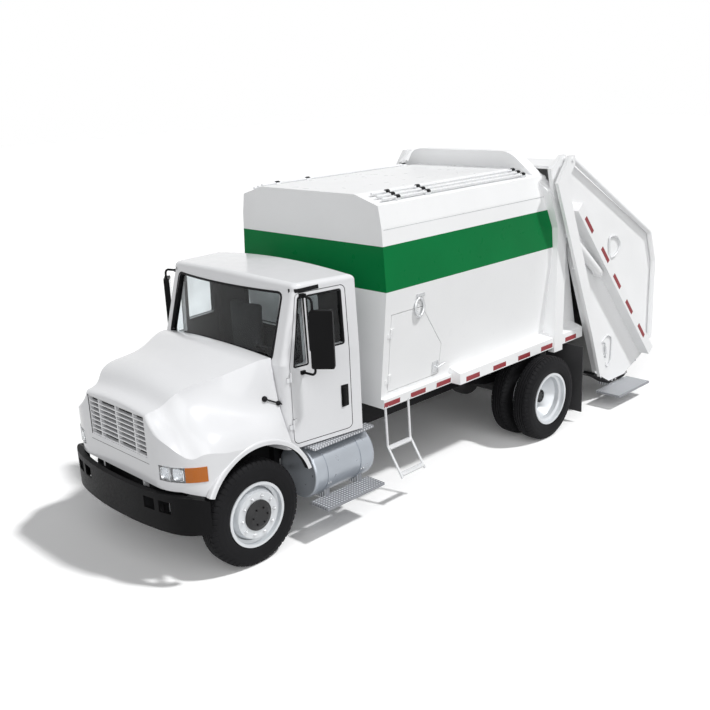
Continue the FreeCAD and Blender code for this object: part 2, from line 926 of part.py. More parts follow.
def hood_section(y, row, inset, bottom):
    """One closed cross-section of the hood at a station, from one row of the tables."""
    crown_z = crease_heights[row] + crown_rises[row] - inset
    widths = (crease_half_widths, waist_half_widths, bulge_half_widths, ridge_half_widths, fender_half_widths)
    heights = (crease_heights, waist_heights, bulge_heights, ridge_heights, side_heights)
    right = []
    for table, level in zip(widths, heights):
        right.append(V(table[row] - inset, y, level[row] - inset))
    right.append(V(fender_half_widths[row] - inset, y, bottom))
    left = [V(-point.x, point.y, point.z) for point in reversed(right)]
    crown = Part.Arc(left[-1], V(0, y, crown_z), right[0]).toShape()
    flank = Part.BSplineCurve()
    flank.interpolate(right)
    other = Part.BSplineCurve()
    other.interpolate(left)
    base = Part.LineSegment(right[-1], left[0]).toShape()
    return Part.Wire([crown, flank.toShape(), base, other.toShape()])


def hood_form(inset, overrun):
    """The hood's outer form, drawn in by an inset and run on behind and below by an overrun."""
    length = hood_rear_at - hood_front_at
    bottom = hood_bottom_z - overrun
    wires = []
    for share, nose_inset in zip(nose_shares, nose_insets):
        wires.append(hood_section(station(hood_front_at + share * length), 0, inset + nose_inset, bottom))
    for row, share in enumerate(hood_station_shares):
        wires.append(hood_section(station(hood_front_at + share * length), row, inset, bottom))
    form = Part.makeLoft(wires, True, False)
    if overrun:
        tail = hood_section(station(hood_rear_at) + overrun, len(hood_station_shares) - 1, inset, bottom)
        form = form.fuse(Part.makeLoft([wires[-1], tail], True, False))
    front = station(hood_front_at) + inset
    rear = station(hood_rear_at) + overrun
    half = max(fender_half_widths) - inset
    corner = hood_corner_radius - inset
    high = crease_heights[-1] + max(crown_rises) + cut_over
    corners = [(-half, rear), (-half, front), (half, front), (half, rear)]
    plan = prism_z(corners, bottom - cut_over, high, [0.0, corner, corner, 0.0])
    return form.common(plan)


def wheel_arches():
    arches = []
    reach = lip_outer_x + cut_over - arch_inner_x
    y = station(arch_centre_at)
    for x in (arch_inner_x, -arch_inner_x - reach):
        arches.append(Part.makeCylinder(arch_radius, reach, V(x, y, arch_centre_z), V(1, 0, 0)))
    return arches


def arch_lip():
    """Raised band round the wheel arch, running down behind the wheel as the fender's tail."""
    y = station(arch_centre_at)
    start, run = V(lip_inner_x, y, arch_centre_z), lip_outer_x - lip_inner_x
    whole = Part.makeCylinder(arch_radius + lip_width, run, start, V(1, 0, 0))
    outer_edges = [edge for edge in whole.Edges if edge.BoundBox.XMin > lip_outer_x - seat_gap]
    whole = whole.makeFillet(lip_fillet, outer_edges)
    low = arch_centre_z - arch_radius - lip_width
    front = station(apron_end_at)
    under = box(lip_inner_x - cut_over, lip_outer_x + cut_over, y - arch_radius - 2 * lip_width,
                y + arch_radius + 2 * lip_width, low - cut_over, lip_tail_z)
    tip = box(lip_inner_x - cut_over, lip_outer_x + cut_over, y - arch_radius - 2 * lip_width, front,
              low, fender_tip_z)
    return whole.cut([under, tip])


def apron_space(lift):
    """Everything under the hood's apron, ahead of the wheels, lowered by a lift."""
    front = station(-front_overhang) - cut_over
    knee, end = station(apron_knee_at), station(apron_end_at)
    half = lip_outer_x + cut_over
    top = apron_bottom_z - lift
    outline = [(front, 0.0), (front, top), (knee, top), (end, fender_tip_z - lift), (end, 0.0)]
    return prism_x(outline, -half, half)


def lamp_box():
    front = station(hood_front_at) - cut_over
    rear = station(hood_front_at) + lamp_depth
    return box(lamp_inner_x, lamp_outer_x, front, rear, lamp_bottom_z, lamp_top_z)


def turn_box():
    front = station(hood_front_at) - cut_over
    reach = fender_half_widths[0] + cut_over
    return box(lamp_outer_x, reach, front, station(turn_end_at), lamp_bottom_z, lamp_top_z)


def hood_parts():
    outer = hood_form(0.0, 0.0)
    inner = hood_form(hood_wall, cut_over)
    front = station(hood_front_at)
    mouth = box(-grille_top_half, grille_top_half, front - cut_over, front + hood_wall + cut_over,
                grille_bottom_z, grille_top_z)
    cab_room = cab_form(-hood_cab_gap, hood_bottom_z - cut_over, cab_eave_z)
    lamps = both_sides(lamp_box()) + both_sides(turn_box())
    shell = outer.cut([inner, mouth, cab_room] + lamps)
    shell = fused([shell] + both_sides(arch_lip())).cut([apron_space(0.0)] + wheel_arches())
    hood = fused([shell] + both_sides(hood_arm()))
    skin = hood_form(-lamp_proud, 0.0).cut(hood_form(hood_wall, cut_over))
    head = skin.common(lamp_box())
    turn = skin.common(turn_box())
    return hood, head, turn


def hood_arm():
    """Gooseneck arm that carries the hood on its front pin."""
    y, z, eye = station(hood_pivot_at), hood_pivot_z, hood_eye_radius
    front = station(hood_front_at) + hood_wall / 2
    x0, x1 = hood_arm_x, hood_arm_x + hood_arm_width
    outline = [
        (front, hood_arm_top_z),
        (front + hood_arm_depth, hood_arm_top_z),
        (front + hood_arm_depth, z - eye),
        (y, z - eye),
        (y, z + eye),
        (front, z + eye),
    ]
    arm = prism_x(outline, x0, x1)
    tip = Part.makeCylinder(eye, hood_arm_width, V(x0, y, z), V(1, 0, 0))
    bore = Part.makeCylinder(
        hood_pin_radius + kingpin_clearance, hood_arm_width + 2 * cut_over, V(x0 - cut_over, y, z), V(1, 0, 0)
    )
    return arm.fuse(tip).cut(bore)


def grille():
    front = station(hood_front_at) + hood_wall / 4
    rear = front + grille_depth
    half = grille_top_half
    plate = box(-half, half, front, rear, grille_bottom_z, grille_top_z)
    top = grille_top_z - grille_border
    low = grille_bottom_z + grille_border
    window = box(-half + grille_border, half - grille_border, front - cut_over, rear + cut_over, low, top)
    frame = plate.cut(window)
    bars = []
    pitch = (top - low) / (grille_bars + 1)
    for index in range(grille_bars):
        z = low + pitch * (index + 1) - grille_bar_height / 2
        bars.append(box(-half, half, front, rear, z, z + grille_bar_height))
    for share in grille_post_shares:
        x = share * half
        bars.append(box(x - grille_post_width / 2, x + grille_post_width / 2, front, rear, low, top))
    return fused([frame] + bars)


def cab_plan(inset):
    """Plan face of the cab at its belt line, with its bowed front and rounded front corners."""
    front = station(cab_front_at) + inset
    back = station(cab_back_at) - inset
    near = cab_front_half - inset
    far = cab_back_half - inset
    z = cab_belt_z
    edges = [
        Part.Arc(V(-near, front, z), V(0, front - cab_bow, z), V(near, front, z)).toShape(),
        Part.LineSegment(V(near, front, z), V(far, back, z)).toShape(),
        Part.LineSegment(V(far, back, z), V(-far, back, z)).toShape(),
        Part.LineSegment(V(-far, back, z), V(-near, front, z)).toShape(),
    ]
    slab = Part.Face(Part.Wire(edges)).extrude(V(0, 0, cab_wall))
    uprights = [edge for edge in slab.Edges if edge.BoundBox.ZLength > cab_wall / 2]
    uprights = [edge for edge in uprights if edge.BoundBox.YMax < back - cab_wall]
    slab = slab.makeFillet(cab_corner_radius - inset, uprights)
    return [face for face in slab.Faces if face.BoundBox.ZMax < z + seat_gap][0]


def cab_form(inset, bottom, top):
    """The cab's outer form, drawn in by an inset: upright to the belt, then leaning back."""
    plan = cab_plan(inset)
    rise = top - cab_belt_z
    lean = cab_rake * rise / (cab_eave_z - cab_belt_z)
    back = station(cab_back_at) - inset
    wide = cab_back_half + cut_over
    behind = box(-wide, wide, back, back + 2 * lean, cab_belt_z - cut_over, top + cut_over)
    leaning = plan.extrude(V(0, lean, rise)).cut(behind)
    return plan.extrude(V(0, 0, bottom - cab_belt_z)).fuse(leaning).removeSplitter()


def windshield_prism():
    half, top_half = windshield_half, windshield_half * windshield_taper_share
    low, high = windshield_bottom_z, windshield_top_z
    outline = [(-half, low), (half, low), (top_half, high), (-top_half, high)]
    y0 = station(cab_front_at) - cab_bow - cut_over
    y1 = station(cab_front_at) + cab_rake + cab_wall + cut_over
    return prism_y(outline, y0, y1, windshield_corner_radius)


def rear_window_prism():
    half = rear_window_half
    outline = [
        (-half, rear_window_bottom_z),
        (half, rear_window_bottom_z),
        (half, rear_window_top_z),
        (-half, rear_window_top_z),
    ]
    back = station(cab_back_at)
    return prism_y(outline, back - cab_wall - cut_over, back + cut_over, windshield_corner_radius)


def inset_prism(outline, corner, inset, x0, x1):
    """Solid between two X planes from an outline of (Y, Z) points, rounded and then drawn in by an inset."""
    points = [V(x0, y, z) for y, z in outline]
    wire = rounded_face(points, [corner] * len(points)).OuterWire
    if inset:
        wire = wire.makeOffset2D(-inset)
    return Part.Face(wire).extrude(V(x1 - x0, 0, 0))


def side_zone():
    """The cab's side wall as a slab between two upright slanted planes."""
    front, rear = cab_side_x(cab_front_at), cab_side_x(cab_back_at - cab_wall)
    y0, y1 = station(cab_front_at), station(cab_back_at) - cab_wall
    deep = door_slab_depth
    outline = [(front - deep, y0), (front + cut_over, y0), (rear + cut_over, y1), (rear - deep, y1)]
    return prism_z(outline, door_bottom_z - cut_over, door_top_z + cut_over)


def door_prism(inset):
    """Room of the door in the side wall, its front edge leaning back beside the windshield."""
    front, top_front, rear = station(door_front_at), station(door_front_top_at), station(door_rear_at)
    outline = [
        (front, door_bottom_z),
        (rear, door_bottom_z),
        (rear, door_top_z),
        (top_front, door_top_z),
        (front, cab_belt_z),
    ]
    x0, x1 = cab_front_half - 2 * cab_wall, cab_back_half + cut_over
    return inset_prism(outline, door_corner_radius, inset, x0, x1).common(side_zone())


def door_windows():
    """Rooms of the quarter window and the main window in the door."""
    x0, x1 = cab_front_half - 2 * cab_wall - cut_over, cab_back_half + cut_over
    half = door_divider_width / 2
    top = door_window_top_z
    quarter_low = door_quarter_bottom_z
    main_low = door_window_bottom_z
    front, front_top = station(door_window_front_at), station(door_window_front_top_at)
    rear = station(door_window_rear_at)
    div_top, div_low = station(door_divider_top_at), station(door_divider_bottom_at)
    quarter = [(front, quarter_low), (div_low - half, quarter_low), (div_top - half, top), (front_top, top)]
    main = [(div_low + half, main_low), (rear, main_low), (rear, top), (div_top + half, top)]
    return [prism_x(quarter, x0, x1, door_window_radius), prism_x(main, x0, x1, door_window_radius)]


def outside_hinge(base, axis, out, ahead):
    """Halves of one hinge: the fixed half lies ahead of the pin and holds it, the moving half lies behind."""
    length = hinge_half_length
    centre = base + out * hinge_radius
    upper = centre + axis * (length + hinge_gap)
    pin = Part.makeCylinder(hinge_radius / 2, 2 * length, centre, axis)
    fixed = Part.makeCylinder(hinge_radius, length, centre, axis)
    moving = Part.makeCylinder(hinge_radius, length, upper, axis)
    bore = Part.makeCylinder(hinge_radius / 2 + kingpin_clearance, 2 * length, upper - axis * hinge_gap, axis)
    leaves = []
    for start, way in ((centre, ahead), (upper, ahead * -1)):
        root = start - out * (hinge_radius + hinge_leaf_thickness)
        corners = [root, root + way * hinge_leaf_width, root + way * hinge_leaf_width + axis * length,
                   root + axis * length]
        leaf = rounded_face(corners, [0.0] * len(corners)).extrude(out * (2 * hinge_leaf_thickness))
        bridge_corners = [root, root + way * hinge_radius, root + way * hinge_radius + axis * length,
                          root + axis * length]
        bridge = rounded_face(bridge_corners, [0.0] * len(corners))
        leaves.append(leaf.fuse(bridge.extrude(out * (hinge_radius + hinge_leaf_thickness))))
    fixed_half = fixed.fuse([leaves[0], pin])
    moving_half = moving.fuse(leaves[1]).cut(bore)
    return fixed_half, moving_half


def cab_side_x(distance):
    """Half width of the cab at a station."""
    share = (distance - cab_front_at) / (cab_back_at - cab_front_at)
    return cab_front_half + share * (cab_back_half - cab_front_half)


def door_hinges():
    at = door_front_at + door_gap / 2
    fixed_halves, moving_halves = [], []
    ahead = V(cab_side_x(door_front_at) - cab_side_x(door_rear_at), door_front_at - door_rear_at, 0)
    ahead.normalize()
    out = V(-ahead.y, ahead.x, 0)
    for z in door_hinge_zs:
        fixed, moving = outside_hinge(V(cab_side_x(at), station(at), z), V(0, 0, 1), out, ahead)
        fixed_halves.append(fixed)
        moving_halves.append(moving)
    return fixed_halves, moving_halves


def cab_mounts():
    """Pads between the frame rails and the cab floor."""
    pads = []
    for place in cab_mount_stations:
        y = station(place)
        pad = box(rail_outer_x - rail_flange, rail_outer_x, y, y + cab_mount_length,
                  rail_top_z + seat_gap, cab_floor_z + cab_wall / 2)
        pads += both_sides(pad)
    return pads


def cab_parts():
    """Cab shell, left door, the door's two panes, the windshield and the rear pane."""
    outer = cab_form(0.0, cab_floor_z, cab_eave_z)
    inner = cab_form(cab_wall, cab_floor_z + cab_wall, cab_eave_z + cut_over)
    shell = outer.cut(inner)
    windows = door_windows()
    body = shell.cut([windshield_prism(), rear_window_prism()] + both_sides(door_prism(0.0)))
    door = shell.common(door_prism(door_gap)).cut(windows)
    depth = cab_wall * glass_depth_share
    pane_outer = cab_form(depth, cab_floor_z, cab_eave_z + cut_over)
    pane_inner = cab_form(depth + glass_thickness, cab_floor_z - cut_over, cab_eave_z + 2 * cut_over)
    panes = []
    for window in windows + [windshield_prism(), rear_window_prism()]:
        panes.append(window.common(pane_outer).cut(pane_inner))
    frame_halves, door_halves = door_hinges()
    body = fused([body] + frame_halves + [mirrored(half) for half in frame_halves] + cab_mounts())
    return body, fused([door] + door_halves), panes[:2], panes[2], panes[3]


def roof_wire(inset, z):
    """Outline of the roof at a height, drawn in by an inset."""
    front_at = cab_front_at + cab_rake
    near = V(cab_front_half - inset, station(front_at) + inset, z)
    far = V(cab_side_x(cab_back_at - cab_rake) - inset, station(cab_back_at) - inset, z)
    bow = V(0, near.y - cab_bow, z)
    near_other = V(-near.x, near.y, z)
    far_other = V(-far.x, far.y, z)
    edges = [
        Part.Arc(near_other, bow, near).toShape(),
        Part.LineSegment(near, far).toShape(),
        Part.LineSegment(far, far_other).toShape(),
        Part.LineSegment(far_other, near_other).toShape(),
    ]
    return Part.Wire(edges)


def cab_roof():
    """Roof panel with a crowned top and rounded edges over a shallow room."""
    high = roof_side_rise + roof_rise + cut_over
    block = Part.Face(roof_wire(0.0, cab_eave_z)).extrude(V(0, 0, high))
    half = cab_back_half + cut_over
    y0, y1 = station(cab_front_at) - cab_bow, station(cab_back_at) + cut_over
    low, side_z = cab_eave_z - cut_over, cab_eave_z + roof_side_rise
    crown = [
        Part.LineSegment(V(-half, y0, low), V(half, y0, low)).toShape(),
        Part.LineSegment(V(half, y0, low), V(half, y0, side_z)).toShape(),
        Part.Arc(V(half, y0, side_z), V(0, y0, side_z + roof_rise), V(-half, y0, side_z)).toShape(),
        Part.LineSegment(V(-half, y0, side_z), V(-half, y0, low)).toShape(),
    ]
    roof = block.common(Part.Face(Part.Wire(crown)).extrude(V(0, y1 - y0, 0)))
    corners = []
    for edge in roof.Edges:
        bounds = edge.BoundBox
        upright = bounds.XLength < seat_gap and bounds.YLength < seat_gap
        if upright and bounds.YMax < y1 - 2 * cut_over:
            corners.append(edge)
    roof = roof.makeFillet(cab_corner_radius, corners)
    rim = [edge for edge in roof.Edges if edge.BoundBox.ZMin > cab_eave_z + roof_side_rise / 2]
    roof = roof.makeFillet(roof_edge_radius, rim)
    room = Part.Face(roof_wire(roof_wall, low)).extrude(V(0, 0, cut_over + roof_side_rise / 2))
    return roof.cut(room)


def mirror_foot(distance, z):
    """Small plate that joins the mirror's tube to the door."""
    foot = mirror_tube_radius * 2
    half_height = foot * 3 / 4
    y, side = station(distance), cab_side_x(distance)
    return box(side - cab_wall / 2, side + foot, y - foot, y + foot, z - half_height, z + half_height)


def mirror_parts(door):
    """Mirror head on a bent tube loop whose two feet stand on the door's skin."""
    y_top, y, y_foot = station(mirror_arm_at), station(mirror_tube_at), station(mirror_foot_at)
    loop = tube_path(
        [
            V(cab_side_x(mirror_arm_at), y_top, mirror_top_z),
            V(mirror_arm_x, y, mirror_top_z),
            V(mirror_arm_x, y, mirror_bottom_z),
            V(cab_side_x(mirror_foot_at), y_foot, mirror_bottom_z),
        ],
        mirror_bend,
        mirror_tube_radius,
    )
    low = mirror_head_z - mirror_head_height / 2
    x0 = mirror_arm_x - mirror_head_depth / 2
    x1 = x0 + mirror_head_width
    outline = [(x0, low), (x1, low), (x1, low + mirror_head_height), (x0, low + mirror_head_height)]
    head = prism_y(outline, y - mirror_head_depth / 2, y + mirror_head_depth / 2, mirror_head_radius)
    head.rotate(V(mirror_arm_x, y, 0), V(0, 0, 1), mirror_head_turn)
    feet = [mirror_foot(mirror_arm_at, mirror_top_z), mirror_foot(mirror_foot_at, mirror_bottom_z)]
    return fused([loop, head] + feet).cut(door)


def fuel_tank():
    y0, y1 = station(tank_front_at), station(tank_rear_at)
    length = y1 - y0
    tank = Part.makeCylinder(tank_radius, length, V(tank_x, y0, tank_z), V(0, 1, 0))
    rims = [edge for edge in tank.Edges if edge.BoundBox.YLength < seat_gap]
    tank = tank.makeFillet(tank_dome, rims)
    parts = [tank]
    outer = tank_radius + strap_thickness
    for share in strap_shares:
        y = y0 + share * length - strap_width / 2
        band = Part.makeCylinder(outer, strap_width, V(tank_x, y, tank_z), V(0, 1, 0))
        low = rail_top_z - rail_height
        bracket = box(rail_outer_x, tank_x, y, y + strap_width, low, rail_top_z - rail_flange)
        parts += [band, bracket]
    return fused(parts)


def tank_steps():
    """Tread plate on top of the tank, and the hung step beside it on two posts."""
    front, rear = station(tank_front_at), station(tank_rear_at)
    y0, y1 = front - cut_over / 2, rear - cut_over
    outer = tank_radius + strap_thickness
    top, low, thick = tank_z + outer, lower_step_z, tank_step_thickness
    upper = box(tank_x - tank_step_half, tank_x + tank_step_half, y0, y1, top, top + thick)
    parts = [box(lower_step_inner_x, lower_step_outer_x, y0, y1, low, low + thick)]
    for share in strap_shares:
        y = front + share * (rear - front) - strap_width / 2
        post = box(tank_x + thick, lower_step_inner_x + thick, y, y + strap_width, low, tank_z)
        start = V(tank_x, y - cut_over, tank_z)
        parts.append(post.cut(Part.makeCylinder(outer, strap_width + 2 * cut_over, start, V(0, 1, 0))))
    return [upper, fused(parts)]


def dash_prism(grow):
    """Prism of the dashboard across the whole cab, with its rear face moved back by a growth."""
    front = station(cab_front_at) - cab_bow
    rear = station(cab_front_at) + cab_wall + dash_depth + grow
    top = cab_belt_z
    outline = [(front, dash_bottom_z), (rear - cut_over, dash_bottom_z), (rear, top - cut_over),
               (rear - dash_depth / 2, top), (front, top)]
    return prism_x(outline, -cab_back_half, cab_back_half)


def dashboard():
    """Dashboard against the cab's front wall, notched beside the doors so that they swing clear."""
    room = cab_form(cab_wall + seat_gap, cab_floor_z, cab_eave_z)
    return dash_prism(0.0).common(room).cut(both_sides(door_prism(0.0)))


def steering_wheel():
    centre = V(wheel_centre_x, station(wheel_centre_at), wheel_centre_z)
    tilt = math.radians(wheel_tilt)
    axis = V(0, math.sin(tilt), math.cos(tilt))
    ring_shape = Part.makeTorus(wheel_ring_radius, wheel_ring_tube, centre, axis)
    across = V(1, 0, 0)
    up = axis.cross(across)
    spokes = []
    for direction in (across, across * -1, up):
        spokes.append(rod(centre, centre + direction * wheel_ring_radius, wheel_ring_tube * spoke_share))
    hub = rod(centre - axis * wheel_ring_tube * 2, centre + axis * wheel_ring_tube, wheel_ring_tube * 3)
    column = rod(centre - axis * column_length, centre, wheel_ring_tube * 2).cut(dash_prism(seat_gap))
    return fused([ring_shape, hub, column] + spokes)


def seat():
    x0, x1 = seat_x - seat_width / 2, seat_x + seat_width / 2
    y0, y1 = station(seat_front_at), station(seat_rear_at)
    base = cab_floor_z + cab_wall
    pedestal = box(x0 + seat_radius, x1 - seat_radius, y0 + seat_radius, y1 - seat_radius, base, seat_base_z)
    cushion = box(x0, x1, y0, y1, seat_base_z, seat_base_z + seat_cushion_height)
    back = box(x0, x1, y1 - seat_back_thickness, y1, seat_base_z + seat_cushion_height, seat_back_top_z)
    return fused([cushion, back, pedestal])


def body_section(inset):
    right = [
        (body_bottom_half - inset, body_bottom_z + inset),
        (body_band_half - inset, body_band_z),
        (body_seam_half - inset, body_seam_z),
        (body_chamfer_half - inset, body_chamfer_z - inset / 2),
        (body_roof_half - inset / 2, body_roof_z - inset),
    ]
    left = [(-x, z) for x, z in reversed(right)]
    return right + left


def mate_at(z):
    """Y of the slanted joint between the body and the tailgate at a height."""
    share = (mate_top_z - z) / (mate_top_z - mate_bottom_z)
    return station(mate_top_at + share * (mate_bottom_at - mate_top_at))


def behind_mate(offset):
    """Block behind the slanted joint, moved back by an offset."""
    low, high = 0.0, overall_length / 2
    far = overall_length
    outline = [(mate_at(low) + offset, low), (far, low), (far, high), (mate_at(high) + offset, high)]
    return prism_x(outline, -overall_length / 4, overall_length / 4)


def side_door_prism(inset):
    """Room of the side door, its upper rear corner cut off on a slant."""
    front, rear = station(side_door_front_at), station(side_door_rear_at)
    outline = [
        (front, side_door_bottom_z),
        (station(side_door_foot_at), side_door_bottom_z),
        (rear, side_door_shoulder_z),
        (station(side_door_top_rear_at), side_door_top_z),
        (front, side_door_top_z),
    ]
    return inset_prism(outline, 0.0, inset, body_bottom_half - 2 * body_wall, body_band_half + cut_over)


def wall_x(z):
    """Half width of the body's side at a height below the band."""
    share = (z - body_bottom_z) / (body_band_z - body_bottom_z)
    return body_bottom_half + share * (body_band_half - body_bottom_half)


def side_door_hinges():
    axis = V(body_band_half - body_bottom_half, 0, body_band_z - body_bottom_z)
    axis.normalize()
    out = V(axis.z, 0, -axis.x)
    fixed_halves, moving_halves = [], []
    for z in side_door_hinge_zs:
        base = V(wall_x(z), station(side_door_front_at + side_door_gap / 2), z)
        fixed, moving = outside_hinge(base, axis, out, V(0, -1, 0))
        fixed_halves.append(fixed)
        moving_halves.append(moving)
    return fixed_halves, moving_halves


def refuse_body():
    y0, y1 = station(body_front_at), mate_at(0.0)
    outer = prism_y(body_section(0.0), y0, y1)
    inner = prism_y(body_section(body_wall), y0 + body_wall, y1 + cut_over)
    shell = outer.cut([inner, behind_mate(-mate_gap)])
    door = shell.common(side_door_prism(side_door_gap))
    fixed_halves, moving_halves = side_door_hinges()
    walls = fused([shell.cut(side_door_prism(0.0))] + fixed_halves)
    return walls, fused([door] + moving_halves), outer


def body_subframe():
    """Two long sills on the frame rails and the joists that lie across them."""
    y0, y1 = station(body_front_at), station(rail_rear_at)
    joist_low = body_bottom_z - joist_height
    solids = both_sides(box(sill_outer_x - sill_width, sill_outer_x, y0, y1, rail_top_z, joist_low))
    for place in joist_stations:
        y = station(place)
        solids.append(box(-joist_half, joist_half, y, y + joist_width, joist_low, body_bottom_z))
    return solids


def side_rail(arch):
    low, high = body_bottom_z, body_bottom_z + rail_strip_height
    y0, y1, y2 = station(body_front_at), station(wheel_box_front_at), station(wheel_box_rear_at)
    strip_outline = [
        (wall_x(low), low),
        (wall_x(low) + rail_strip_depth, low),
        (wall_x(high) + rail_strip_depth, high),
        (wall_x(high), high),
    ]
    strip = prism_y(strip_outline, y0, y1)
    box_top = wheel_box_bottom_z + wheel_box_height
    slope_top = box_top + rail_strip_height / 2
    box_outline = [
        (wall_x(low), low),
        (wheel_box_outer_x, low),
        (wheel_box_outer_x, box_top),
        (wall_x(slope_top), slope_top),
    ]
    wheel_box = prism_y(box_outline, y1, y2)
    return fused([strip, wheel_box]).cut(arch)


def rear_arch(body_outer):
    right = [
        (post_bottom_outer_x, post_bottom_z),
        (post_outer_x, body_band_z),
        (post_outer_x, arch_shoulder_z),
        (arch_top_half, arch_top_z),
    ]
    outline = right + [(-x, z) for x, z in reversed(right)]
    radii = [0.0, 0.0] + 4 * [arch_corner_radius] + [0.0, 0.0]
    y0, y1 = mate_at(overall_length / 2), station(post_front_at) + 2 * post_depth
    points = [V(x, y0, z) for x, z in outline]
    slab = rounded_face(points, radii).extrude(V(0, y1 - y0, 0))
    rear = station(post_front_at) + post_depth
    knee_share = (mate_bottom_at - mate_top_at) / (mate_top_z - mate_bottom_z)
    knee_z = mate_top_z - (rear + mate_gap - mate_at(mate_top_z)) / knee_share
    top = arch_top_z + cut_over
    top_rear = mate_at(top) - mate_gap
    side = [
        (rear - post_depth, post_bottom_z),
        (rear, post_bottom_z),
        (rear, knee_z),
        (top_rear, top),
        (top_rear - post_depth, top),
        (rear - post_depth, knee_z),
    ]
    arch = slab.common(prism_x(side, -overall_length / 4, overall_length / 4))
    under = box(
        -post_bottom_outer_x + post_depth / 2,
        post_bottom_outer_x - post_depth / 2,
        y0,
        y1,
        0.0,
        body_bottom_z,
    )
    arch = arch.cut([body_outer, under])
    ears = []
    y, z, eye = station(hinge_at), hinge_z, hinge_pin_radius * arch_eye_share
    root_y = mate_at(arch_shoulder_z) - mate_gap
    outline = [
        (root_y - post_depth / 2, arch_shoulder_z - post_depth / 2),
        (root_y, arch_shoulder_z - post_depth / 4),
        (y + eye, z - eye / 2),
        (y + eye / 2, z + eye),
        (y - eye, z + eye),
        (root_y - post_depth, z - post_depth / 2),
    ]
    ear_inner = gate_side_x + mate_gap
    ear_outer = post_outer_x
    ear = prism_x(outline, ear_inner, ear_outer)
    pin_run = beam_outer_x + mate_gap - ear_inner
    pin = Part.makeCylinder(hinge_pin_radius, pin_run, V(ear_inner, y, z), V(1, 0, 0))
    hold_y, hold_z = station(lift_high_at), lift_high_z
    lug_inner = post_outer_x - 2 * lift_pin_radius - mate_gap
    lug_outer = lift_x - lift_eye_width / 2 - mate_gap / 2
    lug_outline = [
        (rear - mate_gap, hold_z - lift_eye_radius * lift_lug_share),
        (hold_y + lift_eye_radius, hold_z - lift_eye_radius),
        (hold_y + lift_eye_radius, hold_z + lift_eye_radius),
        (rear - mate_gap, hold_z + lift_eye_radius * lift_lug_share),
    ]
    lug = prism_x(lug_outline, lug_inner, lug_outer)
    return fused([arch] + both_sides(ear) + both_sides(pin) + both_sides(lug))


def roof_pipes():
    """Three pipes with their clamps along each roof chamfer."""
    slope_x = body_chamfer_half - body_roof_half
    slope_z = body_roof_z - body_chamfer_z
    run = math.hypot(slope_x, slope_z)
    along = V(-slope_x / run, 0, slope_z / run)
    out = V(slope_z / run, 0, slope_x / run)
    root = V(body_chamfer_half, 0, body_chamfer_z)
    front = station(pipe_front_at)
    solids = []
    parts = []
    for offset in pipe_offsets:
        centre = root + along * offset + out * pipe_standoff
        rear = mate_at(centre.z) - 2 * post_depth
        parts.append(Part.makeCylinder(pipe_radius, rear - front, V(centre.x, front, centre.z), V(0, 1, 0)))
    for place in pipe_clamp_stations:
        y = station(place)
        low = root + along * (pipe_offsets[0] - pipe_radius * 2)
        high = root + along * (pipe_offsets[-1] + pipe_radius * 2)
        corners = [low, low + out * pipe_standoff, high + out * pipe_standoff, high]
        points = [V(p.x, y, p.z) for p in corners]
        parts.append(rounded_face(points, [0.0] * len(points)).extrude(V(0, pipe_clamp_width, 0)))
    return both_sides(fused(parts))


def body_ladder():
    """Short ladder under the body, its feet splayed outward."""
    y0, y1 = station(ladder_front_at), station(ladder_rear_at)
    parts = []
    for y in (y0, y1):
        head = V(ladder_top_x, y, body_bottom_z + cut_over)
        kink = V(ladder_kink_x, y, ladder_kink_z)
        foot = V(ladder_foot_x, y, ladder_foot_z)
        parts.append(tube_path([head, kink, foot], ladder_bend, ladder_radius))
    for share in ladder_rung_shares:
        x = ladder_kink_x + share * (ladder_foot_x - ladder_kink_x)
        z = ladder_kink_z + share * (ladder_foot_z - ladder_kink_z)
        parts.append(rod(V(x, y0, z), V(x, y1, z), ladder_radius * spoke_share))
    top = body_bottom_z - seat_gap
    ceiling = box(sill_outer_x, ladder_foot_x, y0 - cut_over, y1 + cut_over, top, body_roof_z)
    return fused(parts).cut(ceiling)


def mudflap():
    y = station(flap_at)
    top = body_bottom_z - joist_height - seat_gap
    return box(flap_inner_x, flap_outer_x, y, y + flap_thickness, flap_bottom_z, top)


def track_point(distance, across=0.0):
    """Point (Y, Z) at a distance down the packer track, moved square to it."""
    run_y = track_end_at - track_top_at
    run_z = track_end_z - track_top_z
    length = math.hypot(run_y, run_z)
    y = station(track_top_at) + (distance * run_y - across * run_z) / length
    z = track_top_z + (distance * run_z + across * run_y) / length
    return y, z


def gate_outline():
    rear = station(gate_rear_at)
    return [
        (mate_at(hinge_z - 3 * hinge_pin_radius), hinge_z - 3 * hinge_pin_radius),
        (station(gate_slope_top_at), gate_slope_top_z),
        (station(gate_slope_bottom_at), gate_slope_bottom_z),
        (rear, gate_rear_top_z),
        (rear, gate_rear_bottom_z),
        (station(gate_floor_rear_at), gate_floor_z),
        (station(gate_floor_front_at), gate_floor_z),
        (station(gate_toe_at), gate_toe_z),
        (station(mate_bottom_at), mate_bottom_z),
    ]


def gate_sides():
    plate = prism_x(gate_outline(), gate_side_x - gate_wall, gate_side_x)
    boss = Part.makeCylinder(
        lift_eye_radius,
        lift_x - lift_eye_width / 2 - seat_gap - gate_side_x,
        V(gate_side_x, station(lift_low_at), lift_low_z),
        V(1, 0, 0),
    )
    pin = Part.makeCylinder(
        lift_pin_radius,
        lift_x + lift_eye_width / 2 + mate_gap - gate_side_x,
        V(gate_side_x, station(lift_low_at), lift_low_z),
        V(1, 0, 0),
    )
    return fused([plate, boss, pin] + packer_runners())


